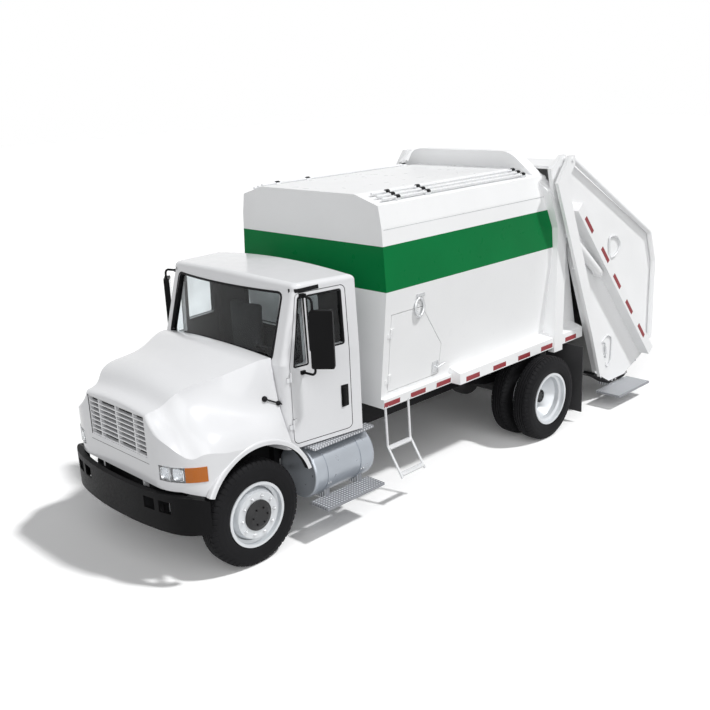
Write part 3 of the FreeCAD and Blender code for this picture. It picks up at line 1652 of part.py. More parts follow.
def gate_roof():
    """Sloping top plate of the tailgate with its short level lip over the hinge."""
    inner = gate_side_x - gate_wall
    lip_z = gate_slope_top_z - 2 * hinge_pin_radius
    lip_y = mate_at(lip_z) + 2 * mate_gap
    top_y, top_z = station(gate_slope_top_at), gate_slope_top_z
    low_y, low_z = station(gate_slope_bottom_at), gate_slope_bottom_z
    drop = gate_roof_thickness
    outline = [(lip_y, lip_z), (top_y, top_z), (low_y, low_z), (low_y, low_z - drop), (top_y, top_z - drop),
               (lip_y, lip_z - drop)]
    return prism_x(outline, -inner, inner)


def hopper():
    inner = gate_side_x - gate_wall
    wall = hopper_wall
    outer = [
        (station(mate_bottom_at), mate_bottom_z),
        (station(gate_toe_at), gate_toe_z),
        (station(gate_floor_front_at), gate_floor_z),
        (station(gate_floor_rear_at), gate_floor_z),
        (station(gate_rear_at) - wall, gate_rear_bottom_z),
        (station(gate_rear_at) - wall, hopper_sill_z),
    ]
    inside = [
        (station(gate_rear_at) - 2 * wall, hopper_sill_z),
        (station(gate_rear_at) - 2 * wall, gate_rear_bottom_z + wall),
        (station(gate_floor_rear_at) - wall / 2, gate_floor_z + wall),
        (station(gate_floor_front_at) + wall / 2, gate_floor_z + wall),
        (station(gate_toe_at) + wall, gate_toe_z + wall / 2),
        (station(mate_bottom_at) + wall * hopper_lean_share, mate_bottom_z),
    ]
    return prism_x(outer + inside, -inner, inner)


def front_beam():
    """Long thin beam along the tailgate's front edge with its hinge eye and the webs behind it."""
    y, z, eye = station(hinge_at), hinge_z, beam_eye_share * hinge_pin_radius
    toe, knee_z, top = station(gate_toe_at), mate_bottom_z, mate_top_z
    rise = beam_width / 4
    outline = [
        (mate_at(top) - beam_width, top),
        (y - eye, z + 2 * hinge_pin_radius),
        (y + eye, z + 2 * hinge_pin_radius),
        (y + eye, z - 3 * hinge_pin_radius),
        (mate_at(top) + rise, top),
        (mate_at(knee_z) + rise, knee_z),
        (toe, beam_bottom_z),
        (toe - beam_width, beam_bottom_z),
        (mate_at(knee_z) - beam_width * beam_toe_share, knee_z),
    ]
    face = prism_x(outline, beam_inner_x, beam_outer_x)
    bore = Part.makeCylinder(
        hinge_pin_radius + kingpin_clearance, beam_outer_x, V(beam_inner_x - cut_over, y, z), V(1, 0, 0)
    )
    high, low = top - beam_width, lift_high_z + web_high_gap
    upper_web = [(mate_at(high) + web_inset, high), (mate_at(high) + rise, high), (mate_at(low) + rise, low),
                 (mate_at(low) + web_inset, low)]
    high = lift_high_z - web_low_gap
    lower_web = [
        (mate_at(high) + web_inset, high),
        (mate_at(high) + rise, high),
        (mate_at(knee_z) + rise, knee_z),
        (toe, gate_toe_z + rise),
        (toe - rise, gate_toe_z + rise),
        (mate_at(knee_z) + web_inset, knee_z),
    ]
    webs = [prism_x(points, gate_side_x, beam_inner_x) for points in (upper_web, lower_web)]
    return fused([face.cut(bore)] + webs)


def track_beam():
    half = track_width / 2
    length = math.hypot(track_end_at - track_top_at, track_end_z - track_top_z)
    outline = [
        track_point(0.0, half),
        track_point(length, half),
        track_point(length, -half),
        track_point(0.0, -half),
    ]
    return prism_x(outline, gate_side_x, track_outer_x)


def rim_tube():
    x = gate_side_x + tube_rim_radius
    rear = station(gate_rear_at) + tube_rear_reach - tube_rim_radius
    return tube_path(
        [
            V(x, station(gate_slope_top_at) + 2 * tube_rim_radius, gate_slope_top_z),
            V(x, station(gate_slope_bottom_at), gate_slope_bottom_z + tube_rim_radius / 2),
            V(x, rear, gate_rear_top_z),
            V(x, rear, gate_rear_bottom_z + tube_end_lift),
        ],
        3 * tube_rim_radius,
        tube_rim_radius,
    )


def gate_sill():
    """Dark bolted sill under the hopper's lower corner."""
    drop = gate_wall
    rear = station(gate_rear_at)
    floor_rear, floor_front = station(gate_floor_rear_at), station(gate_floor_front_at)
    rise = (gate_rear_bottom_z - gate_floor_z) / (rear - floor_rear)
    lead = 2 * drop
    outline = [
        (station(gate_toe_at), gate_toe_z),
        (floor_front, gate_floor_z),
        (floor_rear, gate_floor_z),
        (floor_rear + lead, gate_floor_z + lead * rise),
        (floor_rear + lead, gate_floor_z + lead * rise - drop),
        (floor_rear, gate_floor_z - drop),
        (floor_front, gate_floor_z - drop),
        (station(gate_toe_at) - drop, gate_toe_z - drop / 2),
    ]
    return prism_x(outline, gate_side_x - sill_depth, gate_side_x)


def side_step():
    y0, y1 = station(side_step_front_at), station(side_step_rear_at)
    plate = box(side_step_inner_x, side_step_outer_x, y0, y1, side_step_z, side_step_z + side_step_thickness)
    arms = []
    for y in (station(gate_floor_front_at), station(gate_floor_rear_at) - 2 * gate_wall):
        arms.append(
            box(
                gate_side_x - sill_depth,
                side_step_inner_x + gate_wall,
                y,
                y + gate_wall,
                side_step_z,
                gate_floor_z - gate_wall,
            )
        )
    return fused([plate] + arms)


def tail_lamp():
    x1 = gate_side_x - gate_wall - seat_gap
    y0 = station(gate_rear_at) - hopper_wall
    z0 = gate_rear_bottom_z + tail_lamp_width
    return box(x1 - tail_lamp_width, x1, y0, y0 + hopper_wall / 2, z0, z0 + tail_lamp_height)


def track_bar(start, end, low, high, x0, x1):
    """Bar along the packer track between two distances, two offsets across and two X planes."""
    corners = ((start, high), (end, high), (end, low), (start, low))
    return prism_x([track_point(distance, across) for distance, across in corners], x0, x1)


def packer_panel():
    """Sliding panel with its shoes, and at its lower end the ears and pins of the sweep blade."""
    half = packer_thickness / 2
    top, low = packer_top_distance, packer_top_distance + packer_length
    panel = track_bar(top, low, -half, half, -packer_half_width, packer_half_width)
    shoe_half = shoe_thickness / 2
    shoe_run = shoe_end_share * packer_length
    wall_x0 = gate_side_x - gate_wall - runner_gap
    parts = [panel]
    for start in (top, low - shoe_run):
        x0 = packer_half_width - gate_wall
        shoe = track_bar(start, start + shoe_run, -shoe_half, shoe_half, x0, wall_x0)
        parts += both_sides(shoe)
    y, z = sweep_pivot()
    pivot = packer_top_distance + packer_length + blade_radius + blade_gap
    ear_x = blade_half_width + blade_ear_gap
    ear = track_bar(low - shoe_run, pivot, -shoe_half, shoe_half, ear_x, ear_x + blade_ear_width)
    tip = Part.makeCylinder(shoe_half, blade_ear_width, V(ear_x, y, z), V(1, 0, 0))
    pin_x = blade_half_width - blade_pin_reach
    pin = Part.makeCylinder(blade_pin_radius, ear_x + blade_ear_width - pin_x, V(pin_x, y, z), V(1, 0, 0))
    parts += both_sides(fused([ear, tip, pin]))
    return fused(parts)


def packer_runners():
    """Guide strips for the panel's shoes on the inner face of one tailgate side."""
    x0, x1 = gate_side_x - gate_wall - runner_depth, gate_side_x - gate_wall / 2
    near = shoe_thickness / 2 + runner_gap
    start = packer_top_distance - packer_stroke - gate_wall / 2
    end = packer_top_distance + packer_length + gate_wall
    strips = []
    for low, high in ((near, near + runner_width), (-near - runner_width, -near)):
        strips.append(track_bar(start, end, low, high, x0, x1))
    return strips


def sweep_pivot():
    return track_point(packer_top_distance + packer_length + blade_radius + blade_gap)


def sweep_blade():
    y, z = sweep_pivot()
    half = blade_thickness / 2
    wide = blade_half_width
    barrel = Part.makeCylinder(blade_radius, 2 * wide, V(-wide, y, z), V(1, 0, 0))
    blade = box(-wide, wide, y - half, y + half, z - blade_length, z)
    bore = Part.makeCylinder(
        blade_pin_radius + kingpin_clearance,
        blade_pin_reach + blade_gap + cut_over,
        V(wide - blade_pin_reach - blade_gap, y, z),
        V(1, 0, 0),
    )
    return fused([barrel, blade]).cut(both_sides(bore))


def lift_axis():
    low = V(lift_x, station(lift_low_at), lift_low_z)
    high = V(lift_x, station(lift_high_at), lift_high_z)
    run = high.sub(low)
    length = run.Length
    run.normalize()
    return low, high, run, length


def lift_barrel():
    low, high, run, length = lift_axis()
    start = low + run * lift_eye_radius
    barrel = Part.makeCylinder(lift_barrel_radius, lift_barrel_length - lift_eye_radius, start, run)
    eye = Part.makeCylinder(
        lift_eye_radius, lift_eye_width, V(lift_x - lift_eye_width / 2, low.y, low.z), V(1, 0, 0)
    )
    root = Part.makeCylinder(lift_eye_width / 2, lift_eye_radius * lift_root_share, low, run)
    bore = Part.makeCylinder(lift_bore_radius, lift_barrel_length, low + run * 2 * lift_eye_radius, run)
    pin_bore = Part.makeCylinder(
        lift_pin_radius + kingpin_clearance,
        lift_eye_width + 2 * cut_over,
        V(lift_x - lift_eye_width / 2 - cut_over, low.y, low.z),
        V(1, 0, 0),
    )
    return fused([barrel, eye, root]).cut([bore, pin_bore])


def lift_rod():
    low, high, run, length = lift_axis()
    start = low + run * (2 * lift_eye_radius + blade_gap)
    shaft = rod(start, high, lift_rod_radius)
    eye = Part.makeCylinder(
        lift_eye_radius, lift_eye_width, V(lift_x - lift_eye_width / 2, high.y, high.z), V(1, 0, 0)
    )
    return fused([shaft, eye])


front_centre_x = front_wheels()
rear_drum_x, rear_joint_x = rear_wheels()
save("frame_rails", frame_rails())
save("front_bumper", [front_bumper()])
save("front_axle", [front_axle_beam()])
save_pair("knuckle", knuckle(front_centre_x))
save("leaf_springs", leaf_springs())
axle_shape = rear_axle(rear_drum_x, rear_joint_x)
engine_shape = engine_block()
save("rear_axle", [axle_shape])
save("engine_block", [engine_shape])
save("driveshaft", [driveshaft(engine_shape, axle_shape)])
save("radiator", [radiator()])
hood_shell, head_lamp, turn_lamp = hood_parts()
save("hood", [hood_shell])
save("headlamps", both_sides(head_lamp))
save("turn_lamps", both_sides(turn_lamp))
save("grille", [grille()])
cab_body, left_door, left_glass, front_glass, rear_glass = cab_parts()
save("cab_body", [cab_body])
save_pair("door", left_door)
save("door_glass_left", left_glass)
save("door_glass_right", [mirrored(pane) for pane in left_glass])
save("cab_glass", [front_glass, rear_glass])
save("cab_roof", [cab_roof()])
save_pair("mirror", mirror_parts(left_door))
save("fuel_tanks", both_sides(fuel_tank()))
left_steps = tank_steps()
save("tank_steps", left_steps + [mirrored(step) for step in left_steps])
save("dashboard", [dashboard()])
save("steering_wheel", [steering_wheel()])
save("seats", both_sides(seat()))
body_walls, body_side_door, body_solid = refuse_body()
save("refuse_body", [body_walls])
save("body_side_door", [body_side_door])
save("body_subframe", body_subframe())
arch_frame = rear_arch(body_solid)
save("rear_arch", [arch_frame])
save("side_rails", both_sides(side_rail(arch_frame)))
save("roof_pipes", roof_pipes())
save("body_ladder", [body_ladder()])
save("mudflaps", both_sides(mudflap()))
save("tailgate_sides", both_sides(gate_sides()))
save("tailgate_roof", [gate_roof()])
save("hopper", [hopper()])
save("tailgate_beams", both_sides(front_beam()))
save("packer_tracks", both_sides(track_beam()))
save("rim_tubes", both_sides(rim_tube()))
save("tailgate_sills", both_sides(gate_sill()))
save("side_steps", both_sides(side_step()))
save("tail_lamps", both_sides(tail_lamp()))
save("packer_panel", [packer_panel()])
save("sweep_blade", [sweep_blade()])
save_pair("lift_barrel", lift_barrel())
save_pair("lift_rod", lift_rod())
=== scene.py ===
import math

import bmesh
import bpy
from mathutils import Matrix, Vector
from mathutils.bvhtree import BVHTree


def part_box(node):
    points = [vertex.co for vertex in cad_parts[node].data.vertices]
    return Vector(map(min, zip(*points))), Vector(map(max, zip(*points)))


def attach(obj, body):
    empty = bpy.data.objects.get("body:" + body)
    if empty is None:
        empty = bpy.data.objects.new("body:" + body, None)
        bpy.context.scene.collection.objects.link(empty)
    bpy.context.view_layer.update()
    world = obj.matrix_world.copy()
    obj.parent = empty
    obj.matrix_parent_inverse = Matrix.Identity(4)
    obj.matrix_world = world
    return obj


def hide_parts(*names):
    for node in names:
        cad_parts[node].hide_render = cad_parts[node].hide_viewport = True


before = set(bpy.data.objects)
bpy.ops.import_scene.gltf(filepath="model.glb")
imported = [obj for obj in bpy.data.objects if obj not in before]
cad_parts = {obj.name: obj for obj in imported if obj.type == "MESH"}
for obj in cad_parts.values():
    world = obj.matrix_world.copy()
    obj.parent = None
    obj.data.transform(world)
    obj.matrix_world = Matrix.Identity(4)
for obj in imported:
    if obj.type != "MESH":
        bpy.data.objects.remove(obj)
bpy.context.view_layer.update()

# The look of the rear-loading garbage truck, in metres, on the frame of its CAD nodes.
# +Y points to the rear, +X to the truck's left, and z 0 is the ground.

FRONT_AXLE_Y = -2.8925
REAR_AXLE_Y = 1.1535
AXLE_Z = 0.484
SIDES = ((1, "left"), (-1, "right"))
OUTSIDE_X = 1.8


def at(station):
    """The y of a distance behind the front axle."""
    return FRONT_AXLE_Y + station


def add_object(name, data):
    """A new object in the scene."""
    made = bpy.data.objects.new(name, data)
    bpy.context.collection.objects.link(made)
    return made


# Camera, light and floor

CAMERA_PLACE = (6.8816, -7.3355, 4.1336)
CAMERA_RIGHT = Vector((0.70270, 0.71021, -0.04274))
CAMERA_UP = Vector((-0.17832, 0.23395, 0.95579))
CAMERA_FORWARD = Vector((-0.68886, 0.66396, -0.29104))
CAMERA_LENS_MM = 47.05
SENSOR_WIDTH_MM = 36.0
# Lamps as (name, strength, angle in degrees, direction towards the lamp).
LAMPS = (
    ("key_light", 2.25, 4.5, (0.57, 0.33, 1.0)),
    ("soft_light", 2.10, 80.0, (0.66, -0.68, 0.45)),
)
WORLD_FILL = 0.11
FLOOR_HALF = 60.0


def make_camera():
    """The camera solved from the photograph."""
    data = bpy.data.cameras.new("photo_camera")
    data.lens = CAMERA_LENS_MM
    data.sensor_width = SENSOR_WIDTH_MM
    data.clip_start = 0.1
    data.clip_end = 300.0
    camera = add_object("photo_camera", data)
    turn = Matrix((CAMERA_RIGHT, CAMERA_UP, -CAMERA_FORWARD)).transposed().to_4x4()
    camera.matrix_world = Matrix.Translation(CAMERA_PLACE) @ turn
    bpy.context.scene.camera = camera


def node(tree, kind, inputs=None, **settings):
    """Add a shader node, set its properties, and set or link its inputs."""
    made = tree.nodes.new("ShaderNode" + kind)
    for key, value in settings.items():
        setattr(made, key, value)
    for key, value in (inputs or {}).items():
        if isinstance(value, bpy.types.NodeSocket):
            tree.links.new(value, made.inputs[key])
        else:
            made.inputs[key].default_value = value
    return made


def maths(tree, operation, first, second=0.0):
    """One step of arithmetic on sockets or numbers."""
    return node(tree, "Math", {0: first, 1: second}, operation=operation).outputs[0]


def seen_directly(tree):
    """1 for rays that show the backdrop itself, in glass and metal too."""
    path = node(tree, "LightPath")
    direct = maths(tree, "MAXIMUM", path.outputs["Is Camera Ray"], path.outputs["Is Glossy Ray"])
    return maths(tree, "MAXIMUM", direct, path.outputs["Is Transmission Ray"])


def make_world():
    """White backdrop with a weaker fill light."""
    world = bpy.data.worlds.new("studio")
    world.use_nodes = True
    tree = world.node_tree
    tree.nodes.clear()
    fill = node(tree, "Background", {"Color": (0.95, 0.97, 1.0, 1.0), "Strength": WORLD_FILL})
    white = node(tree, "Background", {"Color": (1.0, 1.0, 1.0, 1.0), "Strength": 1.0})
    mixed = node(tree, "MixShader", {0: seen_directly(tree), 1: fill.outputs[0], 2: white.outputs[0]})
    node(tree, "OutputWorld", {"Surface": mixed.outputs[0]})
    bpy.context.scene.world = world


def make_lamps():
    """Main light from the left and slightly behind, and a wide soft one from the camera's side."""
    for name, energy, angle, source in LAMPS:
        data = bpy.data.lights.new(name, "SUN")
        data.energy = energy
        data.angle = math.radians(angle)
        lamp = add_object(name, data)
        lamp.rotation_euler = Vector(source).to_track_quat("Z", "Y").to_euler()


def make_floor():
    """White floor that keeps the truck's soft shadow."""
    mesh = bpy.data.meshes.new("floor")
    half = FLOOR_HALF
    corners = [(-half, -half, 0), (half, -half, 0), (half, half, 0), (-half, half, 0)]
    mesh.from_pydata(corners, [], [(0, 1, 2, 3)])
    floor = add_object("floor", mesh)
    material = bpy.data.materials.new("floor_white")
    material.use_nodes = True
    tree = material.node_tree
    tree.nodes.clear()
    cloud = node(tree, "TexNoise", {"Scale": 0.35, "Detail": 2.0})
    tone = node(tree, "MapRange", {0: cloud.outputs[0], 3: 1.05, 4: 1.07})
    plain = node(tree, "BsdfDiffuse", {"Color": (0.42, 0.42, 0.42, 1.0)})
    shown = node(tree, "BsdfDiffuse", {"Color": tone.outputs[0]})
    lift = node(tree, "Emission", {"Color": (1.0, 1.0, 1.0, 1.0), "Strength": 0.02})
    bright = node(tree, "AddShader", {0: shown.outputs[0], 1: lift.outputs[0]})
    mixed = node(tree, "MixShader", {0: seen_directly(tree), 1: plain.outputs[0], 2: bright.outputs[0]})
    node(tree, "OutputMaterial", {"Surface": mixed.outputs[0]})
    mesh.materials.append(material)


# Materials

BAND_LOW_Z = 2.163
BAND_HIGH_Z = 2.592
BAND_REAR_Y = 1.535
BAND_GREEN = (0.002, 0.165, 0.043)
PANEL_WHITE = (0.86, 0.865, 0.87)
CAB_WHITE = (0.70, 0.705, 0.72)
FRONT_HUB_RADIUS = 0.1395
REAR_HUB_RADIUS = 0.0765
HUB_BLACK = (0.018, 0.018, 0.019)
TREAD_BAR_TURNS = 95.0


class Finish:
    """A procedural material: its tone, roughness and relief all come from noise."""

    def __init__(self, name, colour, roughness, grain=60.0, tone=0.05, wear=0.08, relief=0.10,
                 depth=0.0004, **constants):
        self.material = bpy.data.materials.new(name)
        self.material.use_nodes = True
        self.tree = self.material.node_tree
        self.tree.nodes.clear()
        self.place = node(self.tree, "TexCoord").outputs["Object"]
        self.cloud = self.noise(1.7, 4.0)
        self.fine = self.noise(grain, 3.0)
        self.height = self.fine
        self.relief = relief
        self.depth = depth
        self.colour = self.tones(colour, tone)
        low, high = max(roughness - wear, 0.02), min(roughness + wear, 1.0)
        spots = {0: self.fine, 1: 0.3, 2: 0.7, 3: low, 4: high}
        self.roughness = node(self.tree, "MapRange", spots).outputs[0]
        self.shader = node(self.tree, "BsdfPrincipled")
        for key, value in constants.items():
            self.shader.inputs[key.replace("_", " ")].default_value = value

    def noise(self, scale, detail):
        """Noise over the surface, from 0 to 1."""
        inputs = {"Vector": self.place, "Scale": scale, "Detail": detail}
        return node(self.tree, "TexNoise", inputs).outputs[0]

    def tones(self, colour, tone):
        """A colour that drifts a little lighter and darker over the surface."""
        dark = [max(c * (1 - tone), 0.0) for c in colour] + [1.0]
        light = [min(c * (1 + tone), 1.0) for c in colour] + [1.0]
        share = node(self.tree, "MapRange", {0: self.cloud, 1: 0.35, 2: 0.65}).outputs[0]
        return node(self.tree, "Mix", {0: share, 6: dark, 7: light}, data_type="RGBA").outputs[2]

    def axes(self, names):
        """The named coordinates of the place that is shaded."""
        split = node(self.tree, "SeparateXYZ", {0: self.place})
        return [split.outputs[name] for name in names]

    def between(self, value, low, high):
        """1 where the value lies between two limits."""
        above = maths(self.tree, "GREATER_THAN", value, low)
        below = maths(self.tree, "LESS_THAN", value, high)
        return maths(self.tree, "MULTIPLY", above, below)

    def paint(self, mask, colour, tone=0.05):
        """Another colour where the mask is 1."""
        other = self.tones(colour, tone)
        self.colour = node(self.tree, "Mix", {0: mask, 6: self.colour, 7: other}, data_type="RGBA").outputs[2]

    def rough_where(self, mask, value):
        """Another roughness where the mask is 1."""
        blend = node(self.tree, "Mix", {0: mask, 2: self.roughness, 3: value}, data_type="FLOAT")
        self.roughness = blend.outputs[0]

    def done(self):
        """Link everything to the shader, and give the material."""
        inputs = {"Strength": self.relief, "Distance": self.depth, "Height": self.height}
        bump = node(self.tree, "Bump", inputs)
        links = (("Base Color", self.colour), ("Roughness", self.roughness), ("Normal", bump.outputs[0]))
        for key, socket in links:
            self.tree.links.new(socket, self.shader.inputs[key])
        node(self.tree, "OutputMaterial", {"Surface": self.shader.outputs[0]})
        return self.material


def body_paint():
    """White paint with the green band round the refuse body."""
    finish = Finish("body_paint", PANEL_WHITE, 0.30, grain=9.0, tone=0.012, wear=0.03,
                    relief=0.02, depth=0.0002, Specular_IOR_Level=0.06)
    y, z = finish.axes("YZ")
    band = finish.between(z, BAND_LOW_Z, BAND_HIGH_Z)
    ahead = maths(finish.tree, "LESS_THAN", y, BAND_REAR_Y)
    finish.paint(maths(finish.tree, "MULTIPLY", band, ahead), BAND_GREEN)
    return finish.done()


def wheel_steel(name, centre_y, hub_radius):
    """Polished rim whose hub is painted black out to its radius."""
    finish = Finish(name, (0.66, 0.68, 0.70), 0.30, grain=12.0, tone=0.04, wear=0.02, relief=0.01,
                    depth=0.0002, Metallic=0.35)
    y, z = finish.axes("YZ")
    behind = maths(finish.tree, "SUBTRACT", y, centre_y)
    above = maths(finish.tree, "SUBTRACT", z, AXLE_Z)
    flat = node(finish.tree, "CombineXYZ", {0: behind, 1: above})
    radius = node(finish.tree, "VectorMath", {0: flat.outputs[0]}, operation="LENGTH").outputs["Value"]
    hub = maths(finish.tree, "LESS_THAN", radius, hub_radius)
    finish.paint(hub, HUB_BLACK)
    finish.rough_where(hub, 0.42)
    return finish.done()


def tread_plate():
    """Aluminium plate with raised crossed bars."""
    finish = Finish("tread_plate", (0.26, 0.27, 0.29), 0.42, grain=60.0, tone=0.10, relief=0.8,
                    depth=0.003, Metallic=0.3)
    x, y = finish.axes("XY")
    across = maths(finish.tree, "MULTIPLY", x, TREAD_BAR_TURNS)
    turns = []
    for way in (1.0, -1.0):
        along = maths(finish.tree, "MULTIPLY", y, way * TREAD_BAR_TURNS)
        turns.append(maths(finish.tree, "SINE", maths(finish.tree, "ADD", across, along)))
    product = maths(finish.tree, "MULTIPLY", turns[0], turns[1])
    bars = node(finish.tree, "MapRange", {0: product, 1: 0.25, 2: 0.55}).outputs[0]
    finish.height = maths(finish.tree, "ADD", bars, maths(finish.tree, "MULTIPLY", finish.fine, 0.08))
    finish.paint(maths(finish.tree, "MULTIPLY", bars, 0.9), (0.80, 0.82, 0.85))
    return finish.done()


def ribbed(name, colour, roughness, step, **constants):
    """Lens with upright ribs."""
    finish = Finish(name, colour, roughness, grain=70.0, tone=0.08, wear=0.03, relief=0.5,
                    depth=0.0012, **constants)
    wave = node(finish.tree, "TexWave", {"Vector": finish.place, "Scale": step, "Distortion": 0.0})
    finish.height = wave.outputs[1]
    return finish.done()


# Plain finishes: short name, material, colour, roughness, grain, tone, relief and specular level.
PLAIN_FINISHES = (
    ("flap", "flap_rubber", (0.05, 0.05, 0.052), 0.6, 120.0, 0.15, 0.3, 0.2),
    ("trim", "cab_trim", (0.013, 0.013, 0.014), 0.62, 260.0, 0.12, 0.25, 0.12),
    ("black", "satin_black", (0.006, 0.006, 0.0065), 0.45, 70.0, 0.12, 0.10, 0.07),
    ("frame", "frame_black", (0.012, 0.012, 0.013), 0.55, 55.0, 0.18, 0.2, 0.10),
    ("seal", "black_rubber", (0.010, 0.010, 0.011), 0.58, 140.0, 0.12, 0.2, 0.10),
    ("tyre", "tyre_rubber", (0.011, 0.011, 0.012), 0.62, 190.0, 0.18, 0.25, 0.08),
    ("iron", "black_iron", (0.03, 0.03, 0.031), 0.6, 85.0, 0.2, 0.35, 0.5),
    ("engine", "engine_grey", (0.10, 0.105, 0.11), 0.6, 60.0, 0.2, 0.4, 0.5),
    ("core", "radiator_core", (0.03, 0.03, 0.031), 0.6, 300.0, 0.2, 0.5, 0.5),
    ("mark", "red_mark", (0.24, 0.008, 0.015), 0.42, 240.0, 0.12, 0.2, 0.5),
    ("ladder", "ladder_paint", (0.70, 0.71, 0.72), 0.3, 60.0, 0.04, 0.10, 0.5),
    ("pipe", "pipe_paint", (0.78, 0.79, 0.80), 0.3, 60.0, 0.04, 0.10, 0.5),
)


def make_materials():
    """Every finish of the scene by its short name."""
    look = {
        "white": Finish("white_gloss", CAB_WHITE, 0.22, grain=9.0, tone=0.012, wear=0.03, relief=0.02,
                        Coat_Weight=0.45, Coat_Roughness=0.08, Specular_IOR_Level=0.35).done(),
        "body": body_paint(),
        "panel": Finish("panel_white", PANEL_WHITE, 0.32, grain=9.0, tone=0.012, wear=0.03, relief=0.02,
                        depth=0.0002, Specular_IOR_Level=0.10).done(),
        "window": Finish("window_glass", (0.78, 0.81, 0.82), 0.03, grain=4.0, tone=0.10, wear=0.01,
                         relief=0.02, Transmission_Weight=1.0, IOR=1.25).done(),
        "lens": ribbed("lamp_clear", (0.88, 0.90, 0.92), 0.08, 18.0, Transmission_Weight=0.85, IOR=1.4),
        "amber": ribbed("lamp_amber", (0.50, 0.135, 0.006), 0.16, 26.0, Transmission_Weight=0.15, IOR=1.45),
        "red": ribbed("lamp_red", (0.50, 0.012, 0.012), 0.16, 26.0, Transmission_Weight=0.15, IOR=1.45),
        "chrome": Finish("chrome", (0.80, 0.81, 0.82), 0.10, grain=90.0, tone=0.04, wear=0.04, relief=0.04,
                         Metallic=1.0).done(),
        "steel": Finish("zinc_steel", (0.56, 0.57, 0.58), 0.32, grain=110.0, tone=0.10, Metallic=0.8).done(),
        "tank": Finish("brushed_tank", (0.40, 0.43, 0.47), 0.30, grain=12.0, tone=0.04, wear=0.03,
                       relief=0.02, Metallic=0.6).done(),
        "plate": tread_plate(),
        "cloth": Finish("seat_cloth", (0.025, 0.026, 0.029), 0.85, grain=420.0, tone=0.15, relief=0.5,
                        depth=0.0008).done(),
        "hopper": Finish("hopper_steel", (0.30, 0.30, 0.30), 0.45, grain=35.0, tone=0.2, wear=0.15,
                         relief=0.3, depth=0.001, Metallic=0.4).done(),
        "front_rim": wheel_steel("front_rim_steel", FRONT_AXLE_Y, FRONT_HUB_RADIUS),
        "rear_rim": wheel_steel("rear_rim_steel", REAR_AXLE_Y, REAR_HUB_RADIUS),
    }
    for key, name, colour, roughness, grain, tone, relief, specular in PLAIN_FINISHES:
        look[key] = Finish(name, colour, roughness, grain, tone, relief=relief,
                           Specular_IOR_Level=specular).done()
    return look


NODE_FINISH = {
    "white": "hood grille cab_body door_left door_right cab_roof",
    "body": "refuse_body",
    "panel": "body_side_door rear_arch side_rails tailgate_sides tailgate_roof tailgate_beams packer_tracks "
             "rim_tubes lift_barrel_left lift_barrel_right",
    "frame": "frame_rails body_subframe tailgate_sills leaf_springs driveshaft",
    "black": "front_bumper mirror_left mirror_right",
    "iron": "front_axle knuckle_left knuckle_right rear_axle",
    "engine": "engine_block",
    "core": "radiator",
    "lens": "headlamps",
    "amber": "turn_lamps",
    "red": "tail_lamps",
    "window": "door_glass_left door_glass_right cab_glass",
    "tank": "fuel_tanks",
    "plate": "tank_steps side_steps",
    "trim": "dashboard steering_wheel",
    "cloth": "seats",
    "pipe": "roof_pipes",
    "ladder": "body_ladder",
    "flap": "mudflaps",
    "hopper": "hopper packer_panel sweep_blade",
    "chrome": "lift_rod_left lift_rod_right",
    "tyre": "front_tyre_left front_tyre_right rear_tyres_left rear_tyres_right",
    "front_rim": "front_rim_left front_rim_right",
    "rear_rim": "rear_rims_left rear_rims_right",
}


CAB_MIDDLE = Vector((0.0, at(0.86), 1.65))
HOOD_MIDDLE = Vector((0.0, at(-0.05), 1.0))
INNER_MIDDLES = {
    "cab_body": CAB_MIDDLE,
    "door_left": CAB_MIDDLE,
    "door_right": CAB_MIDDLE,
    "cab_roof": CAB_MIDDLE,
    "hood": HOOD_MIDDLE,
}


def dress_nodes():
    """Give every CAD node its finish, and dark trim to the faces inside the cab, doors and hood."""
    for key, names in NODE_FINISH.items():
        for name in names.split():
            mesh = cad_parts[name].data
            mesh.materials.clear()
            mesh.materials.append(LOOK[key])
    for name, middle in INNER_MIDDLES.items():
        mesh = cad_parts[name].data
        mesh.materials.append(LOOK["trim"])
        for face in mesh.polygons:
            if face.normal.dot(middle - face.center) > 0.0:
                face.material_index = 1


# Building of pieces

ARC_STEPS = 5
LOOP_GAP = 0.03
SHARP_ANGLE = 35.0
WASHER_RISE = 0.0022


def surface_of(*names):
    """One searchable surface of several CAD nodes."""
    points, faces = [], []
    for name in names:
        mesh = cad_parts[name].data
        start = len(points)
        points += [vertex.co.copy() for vertex in mesh.vertices]
        faces += [[start + index for index in face.vertices] for face in mesh.polygons]
    return BVHTree.FromPolygons(points, faces)


def touch(surface, origin, direction):
    """Where a ray meets a surface, and the surface's normal there turned against the ray."""
    way = Vector(direction).normalized()
    spot, normal = surface.ray_cast(Vector(origin), way)[:2]
    if spot is None:
        raise ValueError("nothing is met from %s" % (tuple(origin),))
    return spot, normal if normal.dot(way) < 0 else -normal


def from_side(surface, side, y, z, start=OUTSIDE_X):
    """Where a level ray from beside the truck meets a surface, and the normal there."""
    return touch(surface, (side * start, y, z), (-side, 0, 0))


def arc_path(corners, radius, closed=False):
    """A path through corner points with its corners rounded."""
    points = [Vector(corner) for corner in corners]
    count = len(points)
    path = []
    for index in range(count):
        here = points[index]
        if not closed and index in (0, count - 1):
            path.append(here)
            continue
        before, after = points[index - 1], points[(index + 1) % count]
        back, ahead = (before - here), (after - here)
        reach = min(radius, back.length * 0.45, ahead.length * 0.45)
        start, end = here + back.normalized() * reach, here + ahead.normalized() * reach
        for step in range(ARC_STEPS + 1):
            share = step / ARC_STEPS
            path.append(start.lerp(here, share).lerp(here.lerp(end, share), share))
    return path


